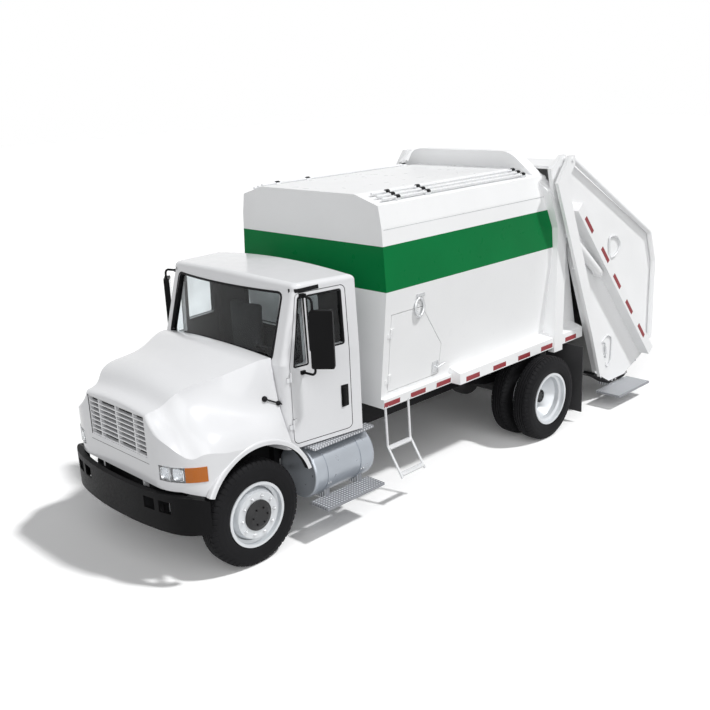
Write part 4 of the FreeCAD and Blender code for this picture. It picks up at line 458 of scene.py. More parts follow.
def spread(path, gap, closed=False):
    """The path with extra points so that no step is longer than the gap."""
    made = []
    count = len(path)
    for index in range(count if closed else count - 1):
        here, after = path[index], path[(index + 1) % count]
        steps = max(1, math.ceil((after - here).length / gap))
        made += [here.lerp(after, step / steps) for step in range(steps)]
    return made if closed else made + [path[-1]]


def square_to(way):
    """A direction square to the given one."""
    guide = Vector((0, 0, 1)) if abs(way.z) < 0.9 else Vector((0, 1, 0))
    return way.cross(guide).normalized()


def circle(centre, wide, tall, sides):
    """Points of a ring round a centre, given by its two half axes."""
    angles = [2 * math.pi * step / sides for step in range(sides)]
    return [centre + wide * math.cos(angle) + tall * math.sin(angle) for angle in angles]


def add_box(mesh, low, high):
    """Add a box between two corners to a bmesh, and give its vertices."""
    made = bmesh.ops.create_cube(mesh, size=1.0)["verts"]
    for vertex in made:
        vertex.co = Vector([low[i] + (high[i] - low[i]) * (vertex.co[i] + 0.5) for i in range(3)])
    return made


class Kit:
    """Collects rounded forms of one finish, then makes them one piece."""

    def __init__(self):
        self.mesh = bmesh.new()

    def rings(self, rings, closed=False):
        """Skin over rings of points that all have the same number of points, with ends unless closed."""
        rows = [[self.mesh.verts.new(point) for point in ring] for ring in rings]
        count = len(rows[0])
        after_rows = rows[1:] + rows[:1] if closed else rows[1:]
        for first, second in zip(rows, after_rows):
            for index in range(count):
                after = (index + 1) % count
                self.mesh.faces.new((first[index], first[after], second[after], second[index]))
        if not closed:
            self.mesh.faces.new(list(reversed(rows[0])))
            self.mesh.faces.new(rows[-1])

    def tube(self, path, radius, closed=False, sides=12, flat=1.0, out=None):
        """Round bar along a path, flattened along the normals in out if flat is below 1."""
        count = len(path)
        side = None
        rings = []
        for index, here in enumerate(path):
            before = path[index - 1] if closed or index else here
            after = path[(index + 1) % count] if closed or index < count - 1 else here
            ahead = (after - before).normalized()
            if out is not None:
                side = ahead.cross(out[index]).normalized()
            elif side is None:
                side = square_to(ahead)
            else:
                side = (side - ahead * side.dot(ahead)).normalized()
            up = side.cross(ahead)
            rings.append(circle(here, side * radius, up * radius * flat, sides))
        self.rings(rings, closed)

    def lathe(self, profile, centre, axis, sides=32):
        """Solid turned from (distance along the axis, radius) pairs, closed at both ends."""
        way = Vector(axis).normalized()
        side = square_to(way)
        up = way.cross(side)
        self.rings([circle(Vector(centre) + way * along, side * radius, up * radius, sides)
                    for along, radius in profile])

    def bolt(self, centre, axis, radius, height):
        """Hexagon head with a chamfered top, on a washer."""
        rim = radius * 1.35
        low, high = WASHER_RISE, WASHER_RISE + height
        self.lathe([(-0.002, rim), (0.0015, rim), (low, rim * 0.95)], centre, axis, 16)
        self.lathe([(low, radius), (high - radius * 0.18, radius), (high, radius * 0.82)], centre, axis, 6)

    def block(self, low, high, bevel, steps=2, turn=None, pivot=None):
        """Box with rounded edges, turned about a pivot if a matrix is given."""
        low, high = Vector(low), Vector(high)
        made = add_box(self.mesh, low, high)
        edges = list({edge for vertex in made for edge in vertex.link_edges})
        reach = min(bevel, 0.45 * min(high[i] - low[i] for i in range(3)))
        result = bmesh.ops.bevel(self.mesh, geom=edges, offset=reach, segments=steps, profile=0.5,
                                 affect="EDGES")
        if turn is not None:
            corners = {vertex for face in result["faces"] for vertex in face.verts}
            bmesh.ops.transform(self.mesh, verts=list(corners), space=Matrix.Translation(-Vector(pivot)),
                                matrix=turn.to_4x4())

    def strip(self, hits, width, height):
        """Raised flat strip that follows a surface through (point, normal) pairs."""
        rings = []
        last = len(hits) - 1
        for index, (here, up) in enumerate(hits):
            before, after = hits[max(index - 1, 0)][0], hits[min(index + 1, last)][0]
            ahead = (after - before).normalized()
            side = ahead.cross(up).normalized() * (width / 2)
            edge = side * (1 - 0.3 * height / width)
            rise = up * height
            rings.append([here + side - rise, here + side + rise * 0.6, here + edge + rise,
                          here - edge + rise, here - side + rise * 0.6, here - side - rise])
        self.rings(rings)

    def side_block(self, side, low, high, *shape):
        """Rounded box given for the left side, mirrored to the right if side is -1."""
        inner, outer = sorted((side * low[0], side * high[0]))
        self.block((inner, low[1], low[2]), (outer, high[1], high[2]), *shape)

    def side_strip(self, surface, side, path, width, height):
        """Raised flat strip where a path is seen on a side of the truck."""
        self.strip([from_side(surface, side, point.y, point.z) for point in path], width, height)

    def side_bolts(self, surface, side, places, size, lift=0.0, start=OUTSIDE_X):
        """Bolts of one (radius, height) at (y, z) places on a side of the truck."""
        for y, z in places:
            spot, normal = from_side(surface, side, y, z, start)
            self.bolt(spot + normal * lift, normal, *size)

    def piece(self, name, body, look, slot=None, angle=SHARP_ANGLE):
        """Make the collected forms one object that rides on a body."""
        bmesh.ops.remove_doubles(self.mesh, verts=self.mesh.verts, dist=1e-6)
        bmesh.ops.recalc_face_normals(self.mesh, faces=self.mesh.faces)
        mesh = bpy.data.meshes.new(name)
        self.mesh.to_mesh(mesh)
        self.mesh.free()
        mesh.shade_smooth()
        mesh.set_sharp_from_angle(angle=math.radians(angle))
        mesh.materials.append(LOOK[look])
        made = add_object(name, mesh)
        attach(made, body)
        return made


def loop_on(surface, outline, radius, origin_of, direction):
    """Points and normals where a closed outline, cast along a direction, meets a surface."""
    path = spread(arc_path(outline, radius, closed=True), LOOP_GAP, closed=True)
    hits = [touch(surface, origin_of(point), direction) for point in path]
    return [hit[0] for hit in hits], [hit[1] for hit in hits]


# Wheels

TYRE_HALF = (
    # distance from the middle plane, radius, and whether the cross grooves reach it
    (0.0, 0.4836, 0), (0.0115, 0.4836, 0), (0.0125, 0.4740, 0), (0.0195, 0.4740, 0), (0.0205, 0.4834, 0),
    (0.0405, 0.4830, 0), (0.0415, 0.4735, 0), (0.0485, 0.4735, 0), (0.0500, 0.4822, 0), (0.0590, 0.4816, 1),
    (0.0700, 0.4802, 1), (0.0790, 0.4750, 1), (0.0860, 0.4655, 1), (0.0925, 0.4560, 1), (0.0975, 0.4460, 1),
    (0.1010, 0.4370, 0), (0.1025, 0.4300, 0), (0.1045, 0.4270, 0), (0.1062, 0.4180, 0), (0.1088, 0.4020, 0),
    (0.1082, 0.3990, 0), (0.1102, 0.3900, 0), (0.1106, 0.3720, 0), (0.1096, 0.3540, 0), (0.1086, 0.3510, 0),
    (0.1090, 0.3460, 0), (0.1062, 0.3300, 0), (0.1020, 0.3150, 0), (0.1000, 0.3120, 0), (0.0992, 0.3060, 0),
    (0.0960, 0.3010, 0), (0.0930, 0.2990, 0), (0.0930, 0.2850, 0),
)
TREAD_PITCHES = 54
GROOVE_SHARES = ((0.0, False), (0.66, False), (0.72, True), (0.94, True))
GROOVE_DEPTH = 0.008
FRONT_TYRE_X = 0.8605
REAR_TYRE_XS = (1.1515, 0.8515)
TYRE_SHARP_ANGLE = 28.0


def tyre_rings(middle_x, axle_y):
    """Rings of one tyre round the axle, with cross grooves cut in its shoulders."""
    section = [(-x, r, cut) for x, r, cut in reversed(TYRE_HALF)] + list(TYRE_HALF[1:])
    rings = []
    for pitch in range(TREAD_PITCHES):
        for share, sunk in GROOVE_SHARES:
            angle = 2 * math.pi * (pitch + share) / TREAD_PITCHES
            ring = []
            for x, r, cut in section:
                radius = r - GROOVE_DEPTH if cut and sunk else r
                y = axle_y + radius * math.sin(angle)
                z = AXLE_Z + radius * math.cos(angle)
                ring.append(Vector((middle_x + x, y, z)))
            rings.append(ring)
    return rings


def make_tyres():
    """Treaded tyres in place of the plain ones."""
    for side, label in SIDES:
        kit = Kit()
        kit.rings(tyre_rings(side * FRONT_TYRE_X, FRONT_AXLE_Y), closed=True)
        tyre = kit.piece("tread_front_" + label, "front_wheel_" + label, "tyre", "tyre", TYRE_SHARP_ANGLE)
        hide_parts("front_tyre_" + label)
        kit = Kit()
        for middle in REAR_TYRE_XS:
            kit.rings(tyre_rings(side * middle, REAR_AXLE_Y), closed=True)
        tyres = kit.piece("tread_rear_" + label, "rear_wheels_" + label, "tyre", "tyre", TYRE_SHARP_ANGLE)
        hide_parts("rear_tyres_" + label)


# Rings of nuts or bolts: body, axle y, face x, ring radius, count, head radius, and whether a stud shows.
NUT_RINGS = (
    ("front_wheel_", FRONT_AXLE_Y, 0.9670, 0.1770, 10, 0.0135, True),
    ("rear_wheels_", REAR_AXLE_Y, 1.0155, 0.1370, 10, 0.0135, True),
    ("front_wheel_", FRONT_AXLE_Y, 1.0010, 0.0780, 6, 0.0070, False),
    ("rear_wheels_", REAR_AXLE_Y, 1.1115, 0.0560, 8, 0.0070, False),
)
NUT_SINK = 0.001
NUT_HEIGHT_SHARE = 1.1
STUD_SHARES = (0.55, 0.38)
STUD_REACH = 0.024
STUD_TIP = 0.0265


def make_wheel_nuts():
    """Wheel nuts with their studs, and the bolts of the hub covers."""
    for index, (body, axle_y, face, ring, count, size, stud) in enumerate(NUT_RINGS):
        for side, label in SIDES:
            kit = Kit()
            way = (side, 0, 0)
            for turn in range(count):
                angle = 2 * math.pi * (turn + 0.5) / count
                y = axle_y + ring * math.sin(angle)
                z = AXLE_Z + ring * math.cos(angle)
                spot = Vector((side * (face - NUT_SINK), y, z))
                kit.bolt(spot, way, size, size * NUT_HEIGHT_SHARE)
                if stud:
                    wide, narrow = [size * share for share in STUD_SHARES]
                    kit.lathe([(0.0, wide), (STUD_REACH, wide), (STUD_TIP, narrow)], spot, way, 12)
            look, slot = ("steel", "rim_silver") if stud else ("black", None)
            kit.piece("nuts_%d_%s" % (index, label), body + label, look, slot)


# Cab

WINDSHIELD_SEAL = {"half": 0.779, "low": 1.748, "high": 2.329, "start_y": -3.2, "radius": 0.011}
REAR_WINDOW_SEAL = {"half": 0.564, "low": 1.756, "high": 2.184, "start_y": -1.45, "radius": 0.010}
CAB_SEAL_CORNER = 0.055
CAB_SEAL_FLAT = 0.55
# Door windows as (distance behind the front axle, z), each with its corner radius.
DOOR_WINDOWS = (
    (((0.728, 1.796), (1.094, 1.796), (1.094, 2.294), (0.732, 2.294)), 0.022),
    (((0.545, 1.686), (0.695, 1.686), (0.699, 2.293), (0.648, 2.293)), 0.016),
)
DOOR_SEAL_RADIUS = 0.0085
DOOR_SEAL_FLAT = 0.30


def cab_window_seal(kit, cab, size, way):
    """Rubber seal round one upright window that crosses the cab."""
    half, low, high = size["half"], size["low"], size["high"]
    outline = [(-half, 0, low), (half, 0, low), (half, 0, high), (-half, 0, high)]
    path, normals = loop_on(cab, outline, CAB_SEAL_CORNER, lambda p: (p.x, size["start_y"], p.z), way)
    kit.tube(path, size["radius"], closed=True, sides=10, flat=CAB_SEAL_FLAT, out=normals)


def make_window_seals():
    """Rubber seals of the windshield, the rear window and the door windows."""
    cab = surface_of("cab_body", "cab_glass")
    kit = Kit()
    cab_window_seal(kit, cab, WINDSHIELD_SEAL, (0, 1, 0))
    cab_window_seal(kit, cab, REAR_WINDOW_SEAL, (0, -1, 0))
    kit.piece("cab_window_seals", "chassis", "seal")
    for side, label in SIDES:
        door = surface_of("door_" + label, "door_glass_" + label)
        kit = Kit()
        for shape, corner in DOOR_WINDOWS:
            outline = [(0, at(station), z) for station, z in shape]
            path, normals = loop_on(door, outline, corner, lambda p: (side * OUTSIDE_X, p.y, p.z),
                                    (-side, 0, 0))
            kit.tube(path, DOOR_SEAL_RADIUS, closed=True, sides=10, flat=DOOR_SEAL_FLAT, out=normals)
        kit.piece("door_window_seals_" + label, label + "_door", "seal")


# Blocks of a door handle: low and high (y, z), reach from the door's skin, and rounding.
HANDLE_BLOCKS = (
    ((at(1.030), 1.195), (at(1.118), 1.405), (-0.006, 0.006), 0.012),
    ((at(1.040), 1.213), (at(1.082), 1.387), (0.004, 0.020), 0.009),
)
HANDLE_MIDDLE = (at(1.074), 1.300)
KEY_PLACE = (at(1.102), 1.225)
KEY_PROFILE = ((0.005, 0.008), (0.008, 0.008), (0.009, 0.006))


def make_door_handles():
    """Tall black pull with its paddle near the door's rear edge, and a key button."""
    for side, label in SIDES:
        skin = abs(from_side(surface_of("door_" + label), side, *HANDLE_MIDDLE)[0].x)
        kit = Kit()
        for low, high, (inner, outer), rounding in HANDLE_BLOCKS:
            kit.side_block(side, (skin + inner, *low), (skin + outer, *high), rounding, 3)
        kit.lathe(KEY_PROFILE, (side * skin, *KEY_PLACE), (side, 0, 0), 16)
        kit.piece("door_handle_" + label, label + "_door", "black")


EAVE_PANEL_FRONT = Vector((0, at(0.610), 2.350))
EAVE_PANEL_REAR = Vector((0, at(0.865), 2.358))
EAVE_PANEL_WIDTH = 0.036
EAVE_PANEL_HEIGHT = 0.004


def make_eave_panels():
    """Black panel beside the eave over each door's front, seen in the photo."""
    for side, label in SIDES:
        cab = surface_of("cab_body", "cab_roof", "door_left", "door_right")
        kit = Kit()
        kit.side_strip(cab, side, spread([EAVE_PANEL_FRONT, EAVE_PANEL_REAR], 0.03), EAVE_PANEL_WIDTH,
                       EAVE_PANEL_HEIGHT)
        kit.piece("eave_panel_" + label, "chassis", "seal")


MIRROR_PIVOT_X = 1.105
MIRROR_PIVOT_Y = at(0.640)
MIRROR_TURN = math.radians(38.0)
MIRROR_GLASS_XS = (1.092, 1.269)
MIRROR_GLASS_ZS = ((1.865, 2.188), (1.712, 1.850))
MIRROR_GLASS_FRONT = 0.0235
MIRROR_GLASS_REAR = 0.0300


def make_mirror_glass():
    """Flat main glass and convex lower glass on the rear face of each mirror head."""
    for side, label in SIDES:
        kit = Kit()
        pivot = Vector((side * MIRROR_PIVOT_X, MIRROR_PIVOT_Y, 0.0))
        turn = Matrix.Rotation(MIRROR_TURN * side, 3, "Z")
        inner, outer = MIRROR_GLASS_XS
        for low_z, high_z in MIRROR_GLASS_ZS:
            kit.side_block(side, (inner, MIRROR_PIVOT_Y + MIRROR_GLASS_FRONT, low_z),
                           (outer, MIRROR_PIVOT_Y + MIRROR_GLASS_REAR, high_z), 0.003, 2, turn, pivot)
        kit.piece("mirror_glass_" + label, label + "_door", "chrome")


# Hood latch buttons as (distance behind the front axle, z, radius).
LATCH_BUTTONS = ((0.270, 1.450, 0.026), (0.402, 1.378, 0.022))
# Latch button's profile as (rise, share of its radius).
BUTTON_PROFILE = ((-0.006, 1.0), (0.010, 1.0), (0.020, 0.8), (0.026, 0.45))
LATCH_ROD_RISE = 0.016
LATCH_ROD_RADIUS = 0.0065
LATCH_TAIL = 0.075
LATCH_GRIP_RADIUS = 0.011
LATCH_GRIP_SHARE = 0.45


def make_hood_latches():
    """Black rubber latch with its two buttons and its rod on each side of the hood."""
    for side, label in SIDES:
        skin = surface_of("hood", "cab_body", "door_left", "door_right")
        kit = Kit()
        lifted = []
        for station, z, radius in LATCH_BUTTONS:
            spot, normal = from_side(skin, side, at(station), z)
            kit.lathe([(rise, radius * share) for rise, share in BUTTON_PROFILE], spot, normal, 20)
            lifted.append(spot + normal * LATCH_ROD_RISE)
        tail = lifted[1] + (lifted[1] - lifted[0]).normalized() * LATCH_TAIL
        kit.tube(arc_path([lifted[0], lifted[1], tail], 0.01), LATCH_ROD_RADIUS, sides=10)
        kit.tube([tail.lerp(lifted[1], LATCH_GRIP_SHARE), tail], LATCH_GRIP_RADIUS)
        kit.piece("hood_latch_" + label, "hood_unit", "seal")


FRONT_RAY_Y = -4.4
HOOD_SEAM_HALF = 0.470
HOOD_SEAM_Z = 1.066
SEAM_WIDTH = 0.004
SEAM_HEIGHT = 0.0008
# Painted shade: a black sheet behind the grille bars stands in for the dark engine bay seen between them.
SHADE_SHEET_LOW = (-0.452, -3.5640, 1.119)
SHADE_SHEET_HIGH = (0.452, -3.5575, 1.486)


def make_hood_details():
    """Seam under the grille, and a black sheet behind its bars as painted shade: it stands in for the dark
    engine bay seen between the bars.
    """
    hood = surface_of("hood")
    kit = Kit()
    path = spread([Vector((-HOOD_SEAM_HALF, 0, HOOD_SEAM_Z)), Vector((HOOD_SEAM_HALF, 0, HOOD_SEAM_Z))], 0.03)
    hits = [touch(hood, (point.x, FRONT_RAY_Y, point.z), (0, 1, 0)) for point in path]
    kit.strip(hits, SEAM_WIDTH, SEAM_HEIGHT)
    kit.piece("hood_seam", "hood_unit", "trim")
    # The black sheet behind the bars is painted shade of the engine bay, not a part of the truck.
    kit = Kit()
    kit.block(SHADE_SHEET_LOW, SHADE_SHEET_HIGH, 0.002)
    kit.piece("grille_shade_sheet", "hood_unit", "seal")


LAMP_Z = 1.034
# Reflector bowls as (x, half width).
LAMP_BOWLS = ((0.668, 0.050), (0.783, 0.052))
BOWL_HALF_HEIGHT = 0.058
BOWL_SETBACK = 0.020
BOWL_DEPTH = 0.045
BOWL_RIM_REACH = 0.001
BOWL_WALL = 0.006
BOWL_SLANT = 0.18
BOWL_RING_SHARES = (0.002, 0.25, 0.5, 0.75, 1.0, 1.03)
BOWL_SQUARENESS = 0.75
BOWL_STEPS = 28
BULB_PROFILE = ((0.0, 0.010), (0.022, 0.010), (0.028, 0.006))
LAMP_BAR_X = 0.724
# Corners of the bar, with y measured from the lens.
LAMP_BAR_LOW = Vector((0.721, -0.002, 0.970))
LAMP_BAR_HIGH = Vector((0.727, 0.020, 1.098))


def bowl_ring(side, x, y, half, share):
    """One ring of a reflector bowl, round at its bottom and squarer towards its rim."""
    depth = BOWL_DEPTH * (1 - share * share) if share <= 1 else -BOWL_RIM_REACH
    ring = []
    for step in range(BOWL_STEPS):
        angle = 2 * math.pi * step / BOWL_STEPS
        c, s = math.cos(angle), math.sin(angle)
        reach = share / max(abs(c), abs(s)) ** (BOWL_SQUARENESS * share)
        across = half * c * reach
        ring.append(Vector((side * x + across * 0.98, y + depth + BOWL_SLANT * across * side,
                            LAMP_Z + BOWL_HALF_HEIGHT * s * reach)))
    return ring


def make_headlamps():
    """Two reflector bowls with their bulbs behind each clear lens, and the bar between the lenses."""
    lens = surface_of("headlamps")
    for side, label in SIDES:
        bowls, bars = Kit(), Kit()
        for x, half in LAMP_BOWLS:
            y = touch(lens, (side * x, FRONT_RAY_Y, LAMP_Z), (0, 1, 0))[0].y + BOWL_SETBACK
            rings = [bowl_ring(side, x, y, half, share) for share in BOWL_RING_SHARES]
            wall = Vector((0, BOWL_WALL, 0))
            back = [point + wall for point in rings[-1]]
            deep = [point + wall for point in rings[0]]
            bowls.rings(rings + [back, deep])
            bowls.lathe(BULB_PROFILE, (side * x, y + BOWL_DEPTH, LAMP_Z), (0, -1, 0), 16)
        face_y = touch(lens, (side * LAMP_BAR_X, FRONT_RAY_Y, LAMP_Z), (0, 1, 0))[0].y
        face = Vector((0, face_y, 0))
        bars.side_block(side, face + LAMP_BAR_LOW, face + LAMP_BAR_HIGH, 0.001)
        bowls.piece("lamp_bowls_" + label, "hood_unit", "chrome")
        bars.piece("lamp_bar_" + label, "hood_unit", "steel")


# Refuse body

# Middles of the red marks: distances behind the front axle on the rails, and with z on the tracks.
RAIL_MARKS = (1.732, 2.115, 2.510, 2.850, 3.310, 3.760, 4.200, 4.690)
RAIL_MARK_Z = 1.030
TRACK_MARKS = ((4.495, 2.759), (4.830, 2.357), (5.200, 1.950), (5.494, 1.577), (5.810, 1.193), (6.141, 0.815))
RAIL_MARK_SIZE = (0.225, 0.052)
TRACK_MARK_SIZE = (0.250, 0.050)
MARK_HEIGHT = 0.0016


def mark_on(kit, surface, side, middle, size, slope=0.0):
    """One red reflecting mark on a side face."""
    length, width = size
    way = Vector((0, math.cos(slope), math.sin(slope)))
    path = [middle + way * length * share for share in (-0.5, 0.0, 0.5)]
    kit.side_strip(surface, side, path, width, MARK_HEIGHT)


def make_red_marks():
    """Red reflecting marks along the side rails and down the packer tracks."""
    rails = surface_of("side_rails")
    tracks = surface_of("packer_tracks", "tailgate_beams", "tailgate_sides")
    first, last = TRACK_MARKS[0], TRACK_MARKS[-1]
    slope = math.atan2(last[1] - first[1], last[0] - first[0])
    for side, label in SIDES:
        kit = Kit()
        for station in RAIL_MARKS:
            mark_on(kit, rails, side, Vector((0, at(station), RAIL_MARK_Z)), RAIL_MARK_SIZE)
        kit.piece("side_marks_" + label, "chassis", "mark", "lamp_red")
        kit = Kit()
        for station, z in TRACK_MARKS:
            mark_on(kit, tracks, side, Vector((0, at(station), z)), TRACK_MARK_SIZE, slope)
        kit.piece("track_marks_" + label, "tailgate", "mark", "lamp_red")


ROOF_EDGE = Vector((0.982, 0.0, 2.963))
ROOF_TOP_EDGE = Vector((0.679, 0.0, 3.053))
PIPE_OFFSETS = (0.060, 0.130, 0.200)
PIPE_RISE = 0.030
CLAMP_STATIONS = (1.906, 2.336, 3.886)
CLAMP_PROFILE = (
    (0.0, 0.0135), (0.0, 0.0205), (0.004, 0.0225), (0.044, 0.0225), (0.048, 0.0205), (0.048, 0.0135),
)


def make_pipe_clamps():
    """Black clamp rings where the roof pipes cross their brackets."""
    slope = (ROOF_TOP_EDGE - ROOF_EDGE).normalized()
    out = Vector((slope.z, 0.0, -slope.x))
    kit = Kit()
    for side in (1, -1):
        for offset in PIPE_OFFSETS:
            centre = ROOF_EDGE + slope * offset + out * PIPE_RISE
            for station in CLAMP_STATIONS:
                kit.lathe(CLAMP_PROFILE, (side * centre.x, at(station), centre.z), (0, 1, 0), 24)
    kit.piece("pipe_clamps", "chassis", "seal")


LATCH_Y = at(2.400)
LATCH_Z = 1.230
LATCH_LOW = Vector((-0.004, -0.045, -0.060))
LATCH_HIGH = Vector((0.010, 0.045, 0.060))
LATCH_LEVER = (Vector((0.008, 0, 0)), Vector((0.042, 0, 0)), Vector((0.044, 0.10, 0.022)))
LATCH_LEVER_RADIUS = 0.009
LATCH_BOSS = ((0.0, 0.022), (0.012, 0.022), (0.016, 0.016))
LATCH_BOLT_YS = (at(2.360), at(2.440))
LATCH_BOLT_ZS = (1.185, 1.275)
# Bolt heads as (radius, height).
LATCH_BOLT = (0.006, 0.004)
SMALL_BOLT = (0.007, 0.005)
SILL_BOLT = (0.010, 0.007)


def make_side_door_latch():
    """Latch plate, lever and bolts of the door in the body's left side."""
    door = surface_of("body_side_door", "refuse_body")
    kit = Kit()
    spot, normal = from_side(door, 1, LATCH_Y, LATCH_Z)
    kit.block(spot + LATCH_LOW, spot + LATCH_HIGH, 0.006)
    kit.tube(arc_path([spot + step for step in LATCH_LEVER], 0.015), LATCH_LEVER_RADIUS)
    kit.lathe(LATCH_BOSS, spot, normal, 24)
    places = [(y, z) for z in LATCH_BOLT_ZS for y in LATCH_BOLT_YS]
    kit.side_bolts(door, 1, places, LATCH_BOLT, LATCH_HIGH.x)
    kit.piece("side_door_latch", "side_door", "steel")


TIE_BRACKET_Y = at(2.100)
TIE_BRACKET_Z = 2.050
TIE_BRACKET_HALVES = Vector((0.012, 0.060, 0.016))
TIE_RING_Y = at(2.085)
TIE_RING_Z = 1.935
TIE_RING_WIDE = Vector((0, 0.060, 0))
TIE_RING_TALL = Vector((0, 0, 0.088))
TIE_RING_BAR = 0.016
RING_STEPS = 28


def make_tie_loops():
    """Hanging oval ring under its bracket, above the side door and on the other side."""
    body = surface_of("refuse_body")
    kit = Kit()
    for side in (1, -1):
        spot = from_side(body, side, TIE_BRACKET_Y, TIE_BRACKET_Z)[0]
        kit.block(spot - TIE_BRACKET_HALVES, spot + TIE_BRACKET_HALVES, 0.005)
        hung, out = from_side(body, side, TIE_RING_Y, TIE_RING_Z)
        ring = circle(hung + out * TIE_RING_BAR, TIE_RING_WIDE, TIE_RING_TALL, RING_STEPS)
        kit.tube(ring, TIE_RING_BAR, closed=True)
    kit.piece("body_tie_loops", "chassis", "steel")


RIVET_COUNT = 22
RIVET_START = 1.665
RIVET_STEP = 0.150
RIVET_Z = 1.074
RIVET_PROFILE = ((-0.001, 0.007), (0.002, 0.006), (0.0032, 0.003))
POST_START = 4.30
POST_END = 4.56


def make_strip_rivets():
    """Rivets along the side strips, left out where the body's post interrupts them."""
    rails = surface_of("side_rails")
    kit = Kit()
    for side in (1, -1):
        for index in range(RIVET_COUNT):
            station = RIVET_START + index * RIVET_STEP
            if POST_START < station < POST_END:
                continue
            spot, normal = from_side(rails, side, at(station), RIVET_Z)
            kit.lathe(RIVET_PROFILE, spot, normal, 12)
    kit.piece("strip_rivets", "chassis", "panel", "body_white")


LADDER_BOLTS = (1.638, 1.682, 1.968, 2.012)
LADDER_BOLT_Z = 1.005
LADDER_TURN = math.radians(12.0)
# Middles of the ladder's rungs as (x, z).
LADDER_RUNGS = ((0.9695, 0.5726), (1.1270, 0.3348))
TREAD_LOW = Vector((-0.028, at(1.664), -0.009))
TREAD_HIGH = Vector((0.028, at(1.986), 0.011))


def make_ladder_details():
    """Bolts at the ladder's top and flat treads on its rungs."""
    rails = surface_of("side_rails")
    kit = Kit()
    kit.side_bolts(rails, 1, [(at(station), LADDER_BOLT_Z) for station in LADDER_BOLTS], SMALL_BOLT)
    kit.piece("ladder_bolts", "chassis", "steel")
    kit = Kit()
    turn = Matrix.Rotation(LADDER_TURN, 3, "Y")
    for x, z in LADDER_RUNGS:
        rung = Vector((x, 0, z))
        kit.block(rung + TREAD_LOW, rung + TREAD_HIGH, 0.004, turn=turn, pivot=rung)
    kit.piece("ladder_treads", "chassis", "ladder", "ladder_grey")


FOLD_FRONT = Vector((0, at(1.640), 2.742))
FOLD_REAR = Vector((0, at(4.250), 2.742))
FOLD_WIDTH = 0.007


def make_fold_seams():
    """Thin line where the body's sides fold inwards below the roof."""
    body = surface_of("refuse_body")
    kit = Kit()
    for side in (1, -1):
        kit.side_strip(body, side, spread([FOLD_FRONT, FOLD_REAR], 0.2), FOLD_WIDTH, SEAM_HEIGHT)
    kit.piece("body_fold_seams", "chassis", "steel")


STEP_EDGE_LOW = (0.920, at(0.640), 0.891)
STEP_EDGE_HIGH = (1.035, at(1.400), 0.915)


def make_step_edges():
    """Outer part of the upper step over each fuel tank."""
    kit = Kit()
    for side in (1, -1):
        kit.side_block(side, STEP_EDGE_LOW, STEP_EDGE_HIGH, 0.004)
    kit.piece("upper_step_edges", "chassis", "plate", "tread_plate")


# Tailgate

GATE_RAY_X = 1.16
# Places on the gate's side as (distance behind the front axle, z).
GATE_RING = ((5.500, 2.110), (5.665, 2.100), (5.770, 1.980), (5.680, 1.860), (5.520, 1.840))
HOOK_ROD = ((5.400, 0.800), (5.545, 0.872), (5.650, 0.812), (5.640, 0.520), (5.570, 0.440), (5.505, 0.500))
HOOK_ROD_FEET = (HOOK_ROD[0], HOOK_ROD[-1])
GATE_RING_RISE = 0.016
GATE_RING_BAR = 0.011
HOOK_ROD_RISE = 0.010
HOOK_ROD_RADIUS = 0.0085
HOOK_FOOT_PROFILE = ((-0.002, 0.020), (0.016, 0.020), (0.020, 0.014))
TURNBUCKLE = (5.470, 0.690)
SCREW_RISE = 0.030
SCREW_TOP = Vector((0, -0.010, 0.090))
SCREW_LOW = Vector((0, 0.018, -0.095))
SCREW_RADIUS = 0.008
SLEEVE_RADIUS = 0.016
SLEEVE_SHARES = (0.25, 0.75)
SCREW_FOOT_RADIUS = 0.009
LEVER_RADIUS = 0.006
SILL_BOLTS = ((5.376, 0.372), (5.440, 0.335), (5.720, 0.222), (5.800, 0.218), (6.040, 0.236), (6.290, 0.350))


def on_gate(surface, side, place):
    """Where a place on the gate's side lies, and the normal there."""
    station, z = place
    return from_side(surface, side, at(station), z, GATE_RAY_X)


def lifted_from_gate(surface, side, places, rise):
    """The places on the gate's side, moved outwards."""
    hits = [on_gate(surface, side, place) for place in places]
    return [spot + normal * rise for spot, normal in hits]


def make_turnbuckle(kit, spot, normal):
    """Upright screw with its sleeve, feet and lever."""
    top = spot + normal * SCREW_RISE + SCREW_TOP
    low = spot + normal * SCREW_RISE + SCREW_LOW
    kit.tube([top, low], SCREW_RADIUS)
    kit.tube([top.lerp(low, share) for share in SLEEVE_SHARES], SLEEVE_RADIUS, sides=16)
    for end in (top, low):
        kit.tube([end - normal * 0.032, end + normal * 0.006], SCREW_FOOT_RADIUS)
    middle = top.lerp(low, 0.5)
    raised = middle + normal * 0.020
    lever = [middle, raised + Vector((0, -0.03, -0.01)), raised + Vector((0, -0.085, -0.045))]
    kit.tube(arc_path(lever, 0.02), LEVER_RADIUS, sides=10)


